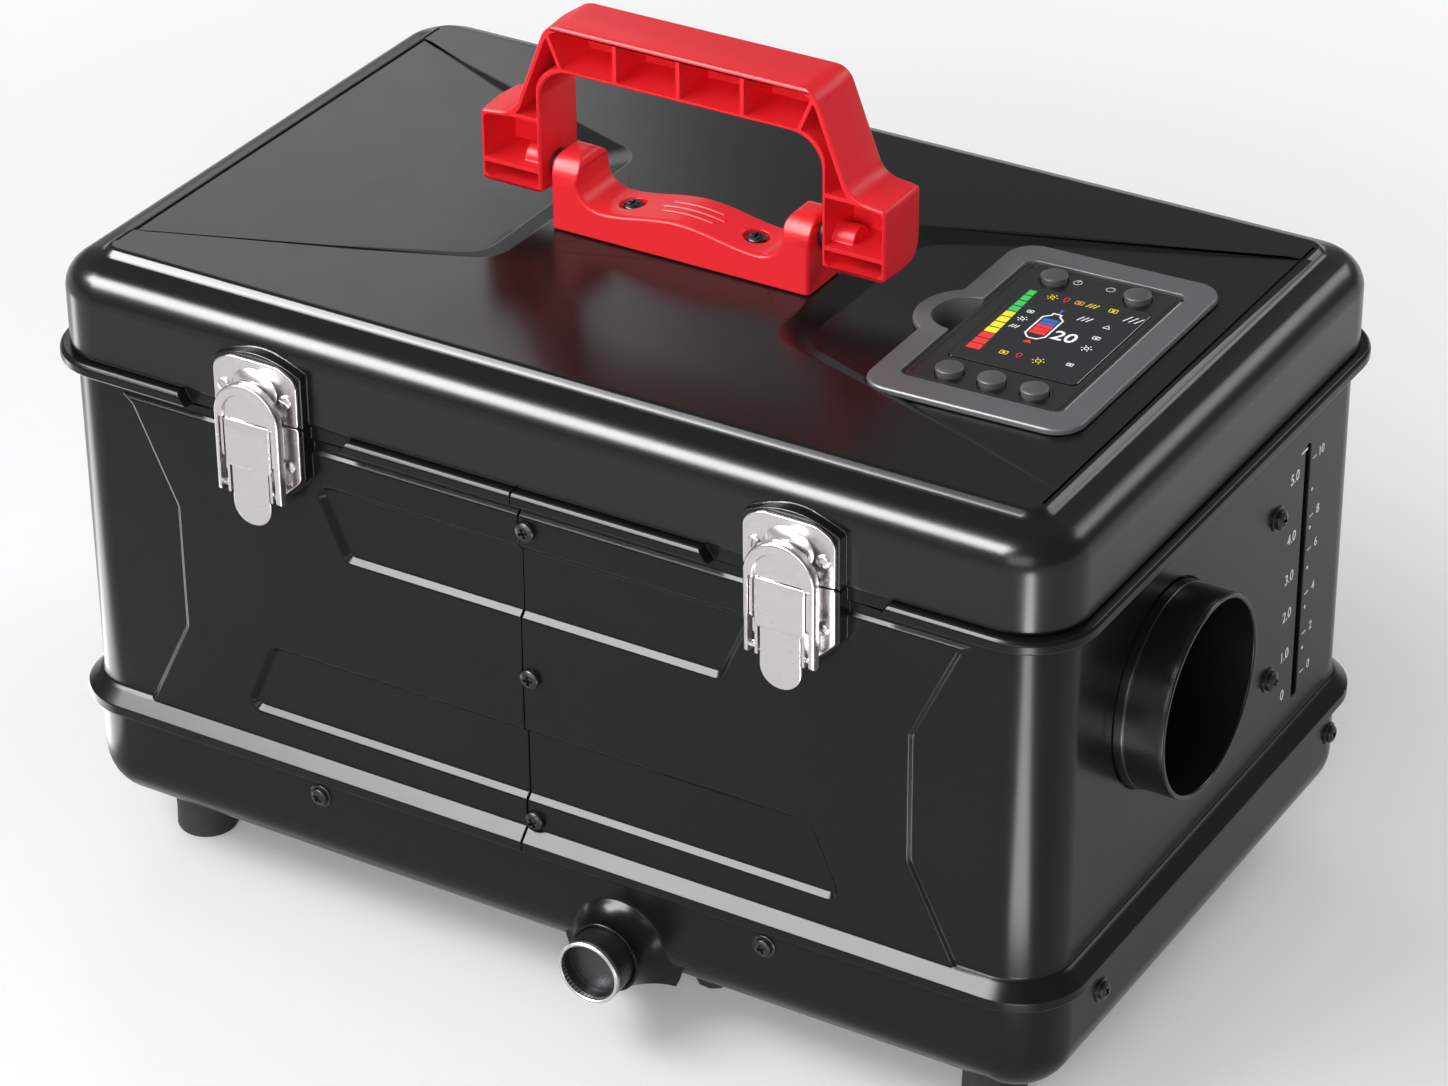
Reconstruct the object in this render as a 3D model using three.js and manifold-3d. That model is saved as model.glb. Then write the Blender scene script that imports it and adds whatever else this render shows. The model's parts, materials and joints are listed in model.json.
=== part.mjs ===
// Portable diesel air heater in a moulded toolbox case. Millimetres, +Z up, front face towards -Y.
import * as THREE from 'three';
import { mergeVertices } from 'three/addons/utils/BufferGeometryUtils.js';
import Module from 'manifold-3d';

const wasm = await Module();
wasm.setup();

// Case: the two rims are the widest lines of the moulding
const caseWidth = 426;
const caseDepth = 266.6;
const rimCornerRadius = 27;
const tightestCorner = 3;
const cornerSteps = 5;
const plasticWall = 3;
const sideInset = 6.5;
const footHeight = 22;
const panHeight = 43;
const bodyHeight = 151;
const lidHeight = 38.5;
const seamGap = 0.5;
const fitGap = 0.3;

// Rims and flanges of the body halves
const lowerRimFace = 4.6;
const rimBevelRise = 3.4;
const upperRimFace = 5;
const rimChamfer = 1.4;
const topLand = 13;
const landThickness = 4;
const skirtDepth = 12;
const centreSeamX = -3.5;
const seamLapWidth = 22;
const seamLapThickness = 3;

// Front and back faces of the body
const fieldRaise = 1.5;
const fieldSetback = 36;
const fieldWaist = 22.7;
const fieldCornerRise = 42;
const fieldMargin = 5;
const recessDepth = 2.2;
const recessBevel = 3;
const upperRecessTopHalf = 92;
const upperRecessBottomHalf = 79;
const upperRecessLow = 97.5;
const upperRecessTall = 30;
const lowerRecessTopHalf = 115;
const lowerRecessBottomHalf = 128.5;
const lowerRecessLow = 20;
const lowerRecessTall = 31;

// Lid
const lidInset = 4;
const shoulderRadius = 12;
const lidWallRise = 22.5;
const plateauInset = 22;
const topThickness = 6.5;
const gasketWidth = 3;
const gasketThickness = 2;
const gasketInset = 8;

// Sunk wedges of the lid, one on each side of the handle
const wedgeDepth = 3.2;
const wedgeInnerX = 57;
const wedgeShiftX = -4.6;
const wedgeSetback = 23;
const wedgeInnerHalf = 49;
const wedgeOuterHalf = 96;
const wedgeBevel = 11;
const wedgeOverrun = 12;

// Rear hinges
const hingeSpacing = 120;
const hingeReach = 4.6;
const hingeBarrelRadius = 4;
const hingePinRadius = 1.7;
const hingeRise = 1;
const knuckleLength = 12;

// Toggle latches
const latchSpacing = 109.8;
const latchCutTopHalf = 37.5;
const latchCutLowHalf = 32;
const latchPlateHalf = 18;
const latchPlateThick = 1.4;
const latchPadMargin = 1;
const catchShoulder = 20;
const catchCrown = 25.3;
const baseShoulder = 20.6;
const baseToe = 28.5;
const strikeReach = 2.8;
const leverPivotOut = 5.8;
const bailPivotDrop = 26.2;
const leverHalf = 9.8;
const leverSheet = 1.2;
const leverFoot = 17;
const tabHalf = 8.2;
const tabDrop = 40.4;
const earThick = 1.2;
const earGap = 0.6;
const latchPinRadius = 1.2;
const bailHalf = 14;
const bailBand = 2.1;
const bailDepth = 3.6;
const bailTailDrop = 2.3;

// Carrying handle and its base
const handleCentreX = -3.3;
const handlePivotY = -7.3;
const handlePivotRise = 21;
const handleBaseHalf = 54.3;
const handleBaseDepth = 23.6;
const lugWidth = 11.5;
const lugRise = 29.6;
const lugRounding = 10.5;
const saddleLow = 11.6;
const saddleHigh = 15.8;
const saddleFillet = 9;
const handleScrewX = 26;
const handleFootGap = 3.7;
const handleFootWidth = 27.3;
const handleShoulderRun = 13;
const handleFootDrop = 9.2;
const handleFootRise = 20.6;
const handleFront = 10.7;
const handleBack = 15.3;
const handleRise = 60.6;
const gripThickness = 19;
const gripShoulderSetback = 2.4;
const gripRibPitch = 26.4;
const handleWall = 2.2;
const handlePocket = 20;
const handleRib = 1.8;
const handlePinRadius = 3;
const handlePinSeat = 10;
const handleBossRadius = 6;
const handleBossReach = 9;

// Control panel
const panelSetback = 75.6;
const panelY = -3.2;
const bezelHalfX = 41.8;
const bezelHalfY = 61.3;
const bezelCorner = 11;
const bezelRise = 2.4;
const notchX = -31;
const notchY = 1;
const notchRadius = 13;
const bezelBand = 6.6;
const notchWellDepth = 9;
const controllerHalfX = 31.4;
const controllerHalfY = 48.8;
const controllerCorner = 4;
const controllerThick = 17;
const controllerProud = 1.9;
const controllerShell = 1.8;
const trayGap = 0.4;
const trayWall = 2;
const boardThick = 1.6;
const boardDrop = 6;
const lensHalfX = 25;
const lensHalfY = 30;
const lensX = 1.5;
const lensY = 1.5;
const lensThick = 1.2;
const buttonRadius = 5.1;
const buttonRise = 3.2;
const buttonTravel = 0.8;
const buttonPitch = 16.6;
const buttonEdge = 9.3;

// Hot air side, right end and left end
const outletY = -42;
const outletDrop = 61;
const outletRadius = 37.5;
const outletWall = 2;
const outletReach = 19;
const outletHoleGap = 1.1;
const outletFlange = 6.5;
const outletSides = 34;
const grilleRadius = 44;
const grilleBars = 6;
const grilleBarThick = 1.8;
const slotY = 75;
const slotWidth = 4.4;
const slotLow = 20;
const slotHeadroom = 23;
const socketRadius = 12;
const socketRise = 24;

// Bottom pan, feet, exhaust and intake
const panInset = 5;
const panRounding = 18;
const footRadius = 12;
const footSetbackX = 39;
const footSetbackY = 35.3;
const exhaustX = 35;
const exhaustRise = 13.5;
const exhaustRadius = 12.5;
const exhaustWall = 1.2;
const exhaustReach = 17;
const screenHole = 2.6;
const screenPitch = 7;
const screenDepth = 6;
const screenThick = 1.2;
const flareReach = 6;
const flareRadius = 26;
const flareWall = 1.4;
const exhaustBend = 26;
const exhaustLift = 3;
const intakeX = 60;
const intakeSetback = 30.3;
const intakeRadius = 7;
const intakeWall = 1;
const intakeDrop = 9;

// Chassis, tank and fuel parts
const unitSetback = 20.5;
const unitWide = 46;
const unitBackGap = 14.8;
const unitDeep = 76;
const unitTall = 30;
const chassisRise = 9;
const chassisSheet = 2;
const chassisSetbackX = 17;
const chassisSetbackY = 29.3;
const chassisFlangeInset = 24;
const cradleHalf = 110;
const tankUnitGap = 12;
const tankDeep = 93;
const tankBackGap = 7.8;
const tankHeadroom = 25;
const tankWall = 3;
const tankCorner = 10;
const neckSetback = 58;
const neckRadius = 19;
const neckRise = 11;
const capRadius = 24;
const capTall = 19;
const pumpRadius = 14;
const pumpLength = 62;
const pumpSetback = 93;
const pumpOffset = 6.5;
const pumpNozzle = 10;
const pumpNozzleRadius = 3.4;
const clampHalf = 9;
const clampWall = 3;
const clampStudHalf = 6;
const fuelLineRadius = 2.6;
const feedX = -66;
const feedY = -20;
const supplySetback = 30;

// Burner unit inside its casing
const casingHalfY = 54;
const casingHalfZ = 52;
const casingSheet = 2;
const casingSetbackLeft = 8.5;
const casingSetbackRight = 54.5;
const casingCorner = 14;
const coreRadius = 36;
const coreBore = 31;
const coreLeft = -56;
const coreLength = 172;
const finReach = 9;
const finCount = 12;
const finThick = 2;
const burnerRadius = 24;
const burnerLength = 96;
const blowerRadius = 41;
const blowerLength = 28;
const impellerRadius = 30;
const impellerLength = 9;
const impellerVanes = 6;
const motorRadius = 18;
const motorLength = 46;
const shaftRadius = 2.5;
const fanRadius = 46;
const fanWidth = 20;
const fanBlades = 7;
const plugRadius = 3.5;
const plugHead = 5.5;
const plugSetback = 24;
const burnerPortRadius = 9;

// Fasteners
const screwShankRadius = 2;
const screwHeadRadius = 3.8;
const screwHeadTall = 2.4;
const seamScrewLength = 8;
const handleScrewLength = 16;
const seamScrewLow = 12.4;
const seamScrewDrop = 16.6;

// Levels and faces worked out from the sizes above
const panLow = footHeight;
const bodyLow = panLow + panHeight;
const seamZ = bodyLow + bodyHeight;
const lidLow = seamZ + seamGap;
const lidTop = lidLow + lidHeight;
const halfWidth = caseWidth / 2;
const halfDepth = caseDepth / 2;
const wallX = halfWidth - sideInset;
const wallY = halfDepth - sideInset;
const fieldY = wallY + fieldRaise;
const lidWallY = halfDepth - lidInset;
const panWallY = halfDepth - panInset;
const heaterZ = seamZ - outletDrop;
const chassisTop = bodyLow + chassisRise;
const hingeY = halfDepth + hingeReach;
const hingeZ = seamZ + hingeRise;
const handlePivotZ = lidTop + handlePivotRise;
const exhaustZ = panLow + exhaustRise;
const exhaustMouthY = -halfDepth - exhaustReach;
const outletMouthX = wallX + outletReach;
const skirtInset = panInset + plasticWall + fitGap;
const leverPivotY = -halfDepth - leverPivotOut;
const leverPivotZ = seamZ;
const handleScrewSeat = lidTop + saddleLow - 1.3;
const handleFootInner = handleBaseHalf + handleFootGap;
const handleFootOuter = handleFootInner + handleFootWidth;
const gripShoulderX = handleFootInner - gripShoulderSetback;
const fieldHalfWide = halfWidth - fieldSetback;
const fieldHalfNarrow = fieldHalfWide - fieldWaist;
const wedgeOuterX = halfWidth - wedgeSetback;
const panelX = halfWidth - panelSetback;
const slotTall = bodyHeight - slotLow - slotHeadroom;
const footX = halfWidth - footSetbackX;
const footY = halfDepth - footSetbackY;
const intakeY = -halfDepth + intakeSetback;
const seamScrewHigh = bodyHeight - seamScrewDrop;
const seamScrewRises = [seamScrewLow, (seamScrewLow + seamScrewHigh) / 2, seamScrewHigh];
const chassisHalfX = halfWidth - chassisSetbackX;
const chassisHalfY = halfDepth - chassisSetbackY;
const casingLeft = -wallX + casingSetbackLeft;
const casingRight = wallX - casingSetbackRight;
const unitLeft = -wallX + unitSetback;
const unitFront = wallY - unitBackGap - unitDeep;
const socketY = unitFront + unitDeep / 2;
const tankLeft = unitLeft + unitWide + tankUnitGap;
const tankBack = wallY - tankBackGap;
const tankFront = tankBack - tankDeep;
const tankMidY = (tankFront + tankBack) / 2;
const tankTall = bodyHeight - tankHeadroom;
const neckX = tankLeft + neckSetback;
const supplyX = tankLeft + supplySetback;
const pumpX = -halfWidth + pumpSetback;
const pumpY = tankMidY - pumpOffset;

// ---- solids -------------------------------------------------------------------------------------

function toSolid(geometry) {
  const bare = geometry.clone();
  bare.deleteAttribute('normal');
  bare.deleteAttribute('uv');
  const merged = mergeVertices(bare, 1e-4);
  return new wasm.Manifold(new wasm.Mesh({
    numProp: 3,
    vertProperties: new Float32Array(merged.attributes.position.array),
    triVerts: new Uint32Array(merged.index.array),
  }));
}

function toGeometry(solid) {
  const mesh = solid.getMesh();
  const geometry = new THREE.BufferGeometry();
  geometry.setAttribute('position', new THREE.BufferAttribute(mesh.vertProperties, 3));
  geometry.setIndex(new THREE.BufferAttribute(mesh.triVerts, 1));
  geometry.computeVertexNormals();
  return geometry;
}

function join(first, ...rest) {
  return rest.reduce((whole, piece) => whole.add(piece), first);
}

function cut(first, ...tools) {
  return tools.reduce((whole, tool) => whole.subtract(tool), first);
}

function placed(solid, x, y, z) {
  return solid.translate([x, y, z]);
}

// Axis frames: an outline drawn in two axes is pushed along the third one
function axisMatrix(axis) {
  const x = new THREE.Vector3(1, 0, 0);
  const y = new THREE.Vector3(0, 1, 0);
  const z = new THREE.Vector3(0, 0, 1);
  if (axis === 'x') {
    return new THREE.Matrix4().makeBasis(y, z, x);
  }
  if (axis === 'y') {
    return new THREE.Matrix4().makeBasis(x, z, y.negate());
  }
  return new THREE.Matrix4();
}

// Outline points are (y, z) for axis x, (x, z) for axis y and (x, y) for axis z
function prism(points, axis, from, to) {
  const shape = new THREE.Shape(points.map(([u, v]) => new THREE.Vector2(u, v)));
  const geometry = new THREE.ExtrudeGeometry(shape, { depth: to - from, bevelEnabled: false });
  geometry.translate(0, 0, axis === 'y' ? -to : from);
  geometry.applyMatrix4(axisMatrix(axis));
  return toSolid(geometry);
}

// A prism whose outline draws in by run over the last depth of both ends
function bevelPrism(points, axis, from, to, depth, run) {
  const shape = new THREE.Shape(points.map(([u, v]) => new THREE.Vector2(u, v)));
  const geometry = new THREE.ExtrudeGeometry(shape, {
    depth: to - from - 2 * depth,
    bevelEnabled: true,
    bevelThickness: depth,
    bevelSize: run,
    bevelOffset: -run,
    bevelSegments: 1,
  });
  geometry.translate(0, 0, (axis === 'y' ? -to : from) + depth);
  geometry.applyMatrix4(axisMatrix(axis));
  return toSolid(geometry);
}

function block(x0, x1, y0, y1, z0, z1) {
  const geometry = new THREE.BoxGeometry(x1 - x0, y1 - y0, z1 - z0);
  geometry.translate((x0 + x1) / 2, (y0 + y1) / 2, (z0 + z1) / 2);
  return toSolid(geometry);
}

function circle(radius, sides, u = 0, v = 0) {
  const points = [];
  for (let i = 0; i < sides; i += 1) {
    const angle = 2 * Math.PI * (i + 0.5) / sides;
    points.push([u + radius * Math.cos(angle), v + radius * Math.sin(angle)]);
  }
  return points;
}

function rod(axis, radius, from, to, u, v, sides = 20) {
  return prism(circle(radius, sides, u, v), axis, from, to);
}

// A turned solid: profile points are (radius, height along the axis), from axis to axis
function turned(profile, axis, u, v, sides = 28) {
  const points = profile.map(([radius, height]) => new THREE.Vector2(radius, height));
  const geometry = new THREE.LatheGeometry(points, sides);
  geometry.rotateX(Math.PI / 2);
  const along = axis === 'y' ? -1 : 1;
  geometry.scale(1, 1, along);
  if (along < 0) {
    geometry.index.array.reverse();
  }
  geometry.applyMatrix4(axisMatrix(axis));
  const shift = { x: [0, u, v], y: [u, 0, v], z: [u, v, 0] }[axis];
  geometry.translate(...shift);
  return toSolid(geometry);
}

// A polygon with each corner rounded by its own radius, or by one radius for all
function rounded(points, radius, steps = 4) {
  const outline = [];
  points.forEach((corner, i) => {
    const size = Array.isArray(radius) ? radius[i] : radius;
    const before = points[(i + points.length - 1) % points.length];
    const after = points[(i + 1) % points.length];
    const here = new THREE.Vector2(...corner);
    const back = new THREE.Vector2(...before).sub(here).normalize();
    const ahead = new THREE.Vector2(...after).sub(here).normalize();
    const halfAngle = Math.acos(THREE.MathUtils.clamp(back.dot(ahead), -1, 1)) / 2;
    if (size <= 0 || halfAngle > 1.55) {
      outline.push(corner);
      return;
    }
    const centre = back.clone().add(ahead).normalize().multiplyScalar(size / Math.sin(halfAngle)).add(here);
    const reach = size / Math.tan(halfAngle);
    const start = back.clone().multiplyScalar(reach).add(here).sub(centre);
    const end = ahead.clone().multiplyScalar(reach).add(here).sub(centre);
    const turn = Math.atan2(start.cross(end), start.dot(end));
    for (let k = 0; k <= steps; k += 1) {
      const arm = start.clone().rotateAround(new THREE.Vector2(), turn * k / steps);
      outline.push([centre.x + arm.x, centre.y + arm.y]);
    }
  });
  return outline;
}

function rectangle(halfX, halfY, radius = 0, steps = 4, x = 0, y = 0) {
  const corners = [[x - halfX, y - halfY], [x + halfX, y - halfY]];
  corners.push([x + halfX, y + halfY], [x - halfX, y + halfY]);
  return radius > 0 ? rounded(corners, radius, steps) : corners;
}

// Skins a stack of level rings, each a list of [x, y, z]; ringLoop joins the last ring to the first
function skin(rings, ringLoop) {
  const count = rings[0].length;
  const positions = rings.flat(2);
  const index = [];
  const last = ringLoop ? rings.length : rings.length - 1;
  for (let r = 0; r < last; r += 1) {
    const low = r * count;
    const high = ((r + 1) % rings.length) * count;
    for (let i = 0; i < count; i += 1) {
      const next = (i + 1) % count;
      index.push(low + i, low + next, high + next, low + i, high + next, high + i);
    }
  }
  if (!ringLoop) {
    const top = (rings.length - 1) * count;
    for (let i = 1; i < count - 1; i += 1) {
      index.push(0, i + 1, i, top, top + i, top + i + 1);
    }
  }
  const geometry = new THREE.BufferGeometry();
  geometry.setAttribute('position', new THREE.Float32BufferAttribute(positions, 3));
  geometry.setIndex(index);
  return toSolid(geometry);
}

// One level line of the case: a rounded rectangle drawn in from the outer face of the rims
function caseRing(inset, z) {
  const radius = Math.max(rimCornerRadius - inset, tightestCorner);
  const spanX = halfWidth - inset - radius;
  const spanY = halfDepth - inset - radius;
  const ring = [];
  [[1, 1], [-1, 1], [-1, -1], [1, -1]].forEach(([signX, signY], quarter) => {
    for (let i = 0; i <= cornerSteps; i += 1) {
      const angle = Math.PI / 2 * (quarter + i / cornerSteps);
      ring.push([signX * spanX + radius * Math.cos(angle), signY * spanY + radius * Math.sin(angle), z]);
    }
  });
  return ring;
}

function caseSweep(profile, ringLoop) {
  return skin(profile.map(([inset, z]) => caseRing(inset, z)), ringLoop);
}

// ---- materials and nodes ------------------------------------------------------------------------

const finishes = {
  blackPlastic: [0x2c2d2f, 0.5, 0],
  satinBlack: [0x38393b, 0.42, 0],
  redPlastic: [0xd8222c, 0.28, 0],
  greyPlastic: [0x6a6c70, 0.45, 0.1],
  darkGloss: [0x1b1c1e, 0.22, 0],
  buttonGrey: [0x4a4b4e, 0.5, 0],
  screen: [0x0c0d0f, 0.1, 0],
  nickel: [0xd8d6d3, 0.25, 0.9],
  blackSteel: [0x202123, 0.4, 0.7],
  steel: [0x8d9093, 0.4, 0.9],
  aluminium: [0xa9acaf, 0.5, 0.8],
  darkMetal: [0x55575a, 0.35, 0.8],
  rubber: [0x1a1a1b, 0.85, 0],
  tank: [0xd9dbd5, 0.5, 0],
  board: [0x1f5a34, 0.6, 0],
};

function piece(name, solid, finish) {
  const [color, roughness, metalness] = finishes[finish];
  const material = new THREE.MeshStandardMaterial({ color, roughness, metalness });
  const mesh = new THREE.Mesh(toGeometry(solid), material);
  mesh.name = name;
  return mesh;
}

// ---- body halves --------------------------------------------------------------------------------

function bodyShell() {
  const inner = sideInset + plasticWall;
  const rimFaceTop = bodyLow + lowerRimFace;
  return caseSweep([
    [0, bodyLow],
    [0, rimFaceTop],
    [sideInset, rimFaceTop + rimBevelRise],
    [sideInset, seamZ - upperRimFace - 0.5],
    [0, seamZ - upperRimFace],
    [0, seamZ - rimChamfer],
    [rimChamfer, seamZ],
    [topLand, seamZ],
    [topLand, seamZ - landThickness],
    [inner, seamZ - landThickness - (topLand - inner)],
    [inner, rimFaceTop + rimBevelRise + plasticWall],
    [skirtInset + plasticWall, rimFaceTop + plasticWall],
    [skirtInset + plasticWall, bodyLow - skirtDepth],
    [skirtInset, bodyLow - skirtDepth],
    [skirtInset, bodyLow],
  ], true);
}

function fieldOutline() {
  const low = bodyLow + lowerRimFace + 1;
  const high = seamZ - upperRimFace - fieldMargin;
  const mid = (low + high) / 2;
  const rise = (high - low) / 2 - fieldCornerRise;
  const side = [[fieldHalfWide, low], [fieldHalfWide - 5, low + 6], [fieldHalfNarrow, mid - rise]];
  side.push([fieldHalfNarrow, mid + rise], [fieldHalfWide - 5, high - 4], [fieldHalfWide, high]);
  const mirrored = side.map(([x, z]) => [-x, z]).reverse();
  return rounded([...side, ...mirrored], [0, 2, 4, 4, 2, 0, 0, 2, 4, 4, 2, 0], 2);
}

function trapezoid(topHalf, lowHalf, low, tall, radius) {
  return rounded([[-lowHalf, low], [lowHalf, low], [topHalf, low + tall], [-topHalf, low + tall]], radius, 3);
}

function raisedField(side) {
  const front = side * fieldY;
  const back = side * (wallY - 1.2);
  const thickness = Math.abs(front - back) + fieldRaise;
  const from = side < 0 ? front : front - thickness;
  return bevelPrism(fieldOutline(), 'y', from, from + thickness, fieldRaise, fieldRaise);
}

function frontRecesses() {
  const face = -fieldY;
  const low = bodyLow;
  const upper = trapezoid(upperRecessTopHalf, upperRecessBottomHalf, low + upperRecessLow, upperRecessTall, 5);
  const lower = trapezoid(lowerRecessTopHalf, lowerRecessBottomHalf, low + lowerRecessLow, lowerRecessTall, 5);
  const from = face - 2 * recessDepth - 1;
  const to = face + recessDepth;
  return [upper, lower].map((outline) => bevelPrism(outline, 'y', from, to, recessDepth, recessBevel));
}

function rimCut(x) {
  const low = seamZ - upperRimFace - 1.5;
  const high = seamZ + 1;
  const outline = [[x - latchCutLowHalf, low], [x + latchCutLowHalf, low], [x + latchCutTopHalf, high]];
  outline.push([x - latchCutTopHalf, high]);
  return prism(outline, 'y', -halfDepth - 1, -fieldY);
}

function latchPadBelow(x) {
  const half = latchPlateHalf + latchPadMargin;
  const toe = seamZ - baseToe - latchPadMargin;
  const outline = rounded([[x - half, seamZ - baseShoulder], [x - half + 8, toe], [x + half - 8, toe],
    [x + half, seamZ - baseShoulder], [x + half, seamZ], [x - half, seamZ]], [3, 5, 5, 3, 0, 0], 3);
  return prism(outline, 'y', -halfDepth, -wallY + 1);
}

function bodyHinge(x) {
  const outer = 1.5 * knuckleLength + fitGap;
  const inner = 0.5 * knuckleLength + fitGap;
  const lugs = [-1, 1].map((side) => {
    const from = side < 0 ? x - outer : x + inner;
    const to = side < 0 ? x - inner : x + outer;
    const barrel = rod('x', hingeBarrelRadius, from, to, hingeY, hingeZ, 20);
    const web = block(from, to, halfDepth - 2, hingeY, seamZ - upperRimFace, seamZ - 0.2);
    return join(barrel, web);
  });
  return lugs;
}

function hingeBore(x) {
  const reach = 2 * knuckleLength;
  return rod('x', hingePinRadius + fitGap, x - reach, x + reach, hingeY, hingeZ, 16);
}

function sideOpenings() {
  const outlet = rod('x', outletRadius + outletHoleGap, wallX - 6, wallX + 1, outletY, heaterZ, outletSides);
  const slot = prism(rectangle(slotWidth / 2, slotTall / 2, 1.5, 3, slotY, bodyLow + slotLow + slotTall / 2),
    'x', wallX - 6, wallX + 1);
  return [outlet, slot];
}

function leftOpenings() {
  const grille = rod('x', grilleRadius, -wallX - 1, -wallX + 6, outletY, heaterZ, 28);
  const socket = rod('x', socketRadius + fitGap, -wallX - 1, -wallX + 6, socketY, bodyLow + socketRise, 20);
  return [grille, socket];
}

function seamScrewBore(rise) {
  return rod('y', screwShankRadius + fitGap, -wallY - 3, -wallY + 8, 0, bodyLow + rise, 12);
}

// The left half carries a lap that lies behind the right half at the centre seam
function seamLap(side) {
  const inner = wallY - plasticWall - fitGap;
  const from = side < 0 ? -inner : inner - seamLapThickness;
  const to = side < 0 ? -inner + seamLapThickness : inner;
  const low = bodyLow + lowerRimFace + rimBevelRise + 4;
  const high = seamZ - landThickness - 8;
  const lap = block(centreSeamX - seamLapWidth / 2, centreSeamX + seamLapWidth / 2, from, to, low, high);
  const root = side < 0 ? block(centreSeamX - seamLapWidth / 2, centreSeamX - 1, -inner - 1, from + 1, low, high)
    : block(centreSeamX - seamLapWidth / 2, centreSeamX - 1, to - 1, inner + 1, low, high);
  return join(lap, root);
}

function bodyHalves() {
  let whole = join(bodyShell(), raisedField(-1), raisedField(1));
  whole = cut(whole, ...frontRecesses());
  for (const side of [-1, 1]) {
    whole = cut(whole, rimCut(side * latchSpacing));
    whole = join(whole, latchPadBelow(side * latchSpacing), ...bodyHinge(side * hingeSpacing));
    whole = cut(whole, hingeBore(side * hingeSpacing));
  }
  whole = cut(whole, ...sideOpenings(), ...leftOpenings());
  const reach = halfWidth + 10;
  const keepLeft = block(-reach, centreSeamX - fitGap / 2, -reach, reach, 0, lidTop);
  const keepRight = block(centreSeamX + fitGap / 2, reach, -reach, reach, 0, lidTop);
  const bores = seamScrewRises.map(seamScrewBore);
  const left = cut(join(whole.intersect(keepLeft), seamLap(-1), seamLap(1)), ...bores);
  const right = cut(whole.intersect(keepRight), ...bores);
  return [piece('body_left', left, 'satinBlack'), piece('body_right', right, 'satinBlack')];
}

// ---- lid ----------------------------------------------------------------------------------------

function lidProfile() {
  const inner = lidInset + plasticWall;
  const arcZ = lidLow + lidWallRise;
  const arcInset = lidInset + shoulderRadius;
  const outerArc = [0, 14, 28, 42, 56, 70].map((degrees) => {
    const angle = THREE.MathUtils.degToRad(degrees);
    return [arcInset - shoulderRadius * Math.cos(angle), arcZ + shoulderRadius * Math.sin(angle)];
  });
  const innerRadius = shoulderRadius - plasticWall;
  const innerArc = [60, 30, 0].map((degrees) => {
    const angle = THREE.MathUtils.degToRad(degrees);
    return [arcInset - innerRadius * Math.cos(angle), arcZ + innerRadius * Math.sin(angle)];
  });
  const grooveIn = gasketInset - fitGap;
  const grooveOut = gasketInset + gasketWidth + fitGap;
  const grooveTop = lidLow + gasketThickness - seamGap + 2 * fitGap;
  return [
    [plateauInset, lidTop - topThickness],
    ...innerArc,
    [inner, lidLow + 8],
    [topLand, lidLow + 4],
    [topLand, lidLow],
    [grooveOut, lidLow],
    [grooveOut, grooveTop],
    [grooveIn, grooveTop],
    [grooveIn, lidLow],
    [lidInset, lidLow],
    ...outerArc,
    [plateauInset - 7, lidTop - 3.8],
    [plateauInset - 3.6, lidTop - 2.7],
    [plateauInset - 1.4, lidTop - 0.7],
    [plateauInset, lidTop],
  ];
}

// The wedge floor is a plane that meets the plateau at the outer end and is deepest beside the handle
function wedgeCut(side) {
  const slope = wedgeDepth / (wedgeOuterX - wedgeInnerX);
  const over = 2;
  const far = wedgeOuterX + wedgeOverrun;
  const outlineAt = (spread) => {
    const innerX = wedgeInnerX + side * wedgeShiftX - spread * wedgeBevel;
    const grow = spread * wedgeBevel * 0.55;
    const flare = (wedgeOuterHalf - wedgeInnerHalf) / (wedgeOuterX - wedgeInnerX);
    const farHalf = wedgeOuterHalf + flare * wedgeOverrun + grow;
    const nearHalf = wedgeInnerHalf + grow;
    const corners = [[innerX, -nearHalf], [far, -farHalf], [far, farHalf], [innerX, nearHalf]];
    return rounded(corners, [14, 2, 2, 14], 4);
  };
  const lowZ = lidTop - wedgeDepth - 1;
  const highZ = lidTop + over;
  const low = outlineAt(-(1 + 1 / wedgeDepth)).map(([x, y]) => [x, y, lowZ]);
  const high = outlineAt(over / wedgeDepth).map(([x, y]) => [x, y, highZ]);
  const bowl = skin([low, high], false);
  const floor = prism([[0, lidTop - wedgeDepth - slope * wedgeInnerX], [far + 5, lidTop + slope * (far + 5 - wedgeOuterX)],
    [far + 5, highZ + 5], [0, highZ + 5]], 'y', -halfDepth, halfDepth);
  const wedge = bowl.intersect(floor);
  return side > 0 ? wedge : wedge.rotate([0, 0, 180]);
}

function latchPadAbove(x) {
  const half = latchPlateHalf + latchPadMargin;
  const outline = catchOutline(x, half, lidLow, latchPadMargin);
  return prism(outline, 'y', -halfDepth, -lidWallY + 2);
}

function catchOutline(x, half, low, margin) {
  const shoulder = seamZ + catchShoulder + margin;
  const rise = catchCrown - catchShoulder;
  const points = [[x - half, low], [x + half, low], [x + half, shoulder]];
  for (let i = 1; i < 8; i += 1) {
    const t = 1 - 2 * i / 8;
    points.push([x + half * t, shoulder + rise * (1 - t * t)]);
  }
  points.push([x - half, shoulder]);
  return points;
}

function lidHinge(x) {
  const half = knuckleLength / 2 - fitGap;
  const barrel = rod('x', hingeBarrelRadius, x - half, x + half, hingeY, hingeZ, 20);
  const web = block(x - half, x + half, lidWallY - 1, hingeY, lidLow + fitGap, hingeZ + hingeBarrelRadius);
  return join(barrel, web);
}

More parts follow.
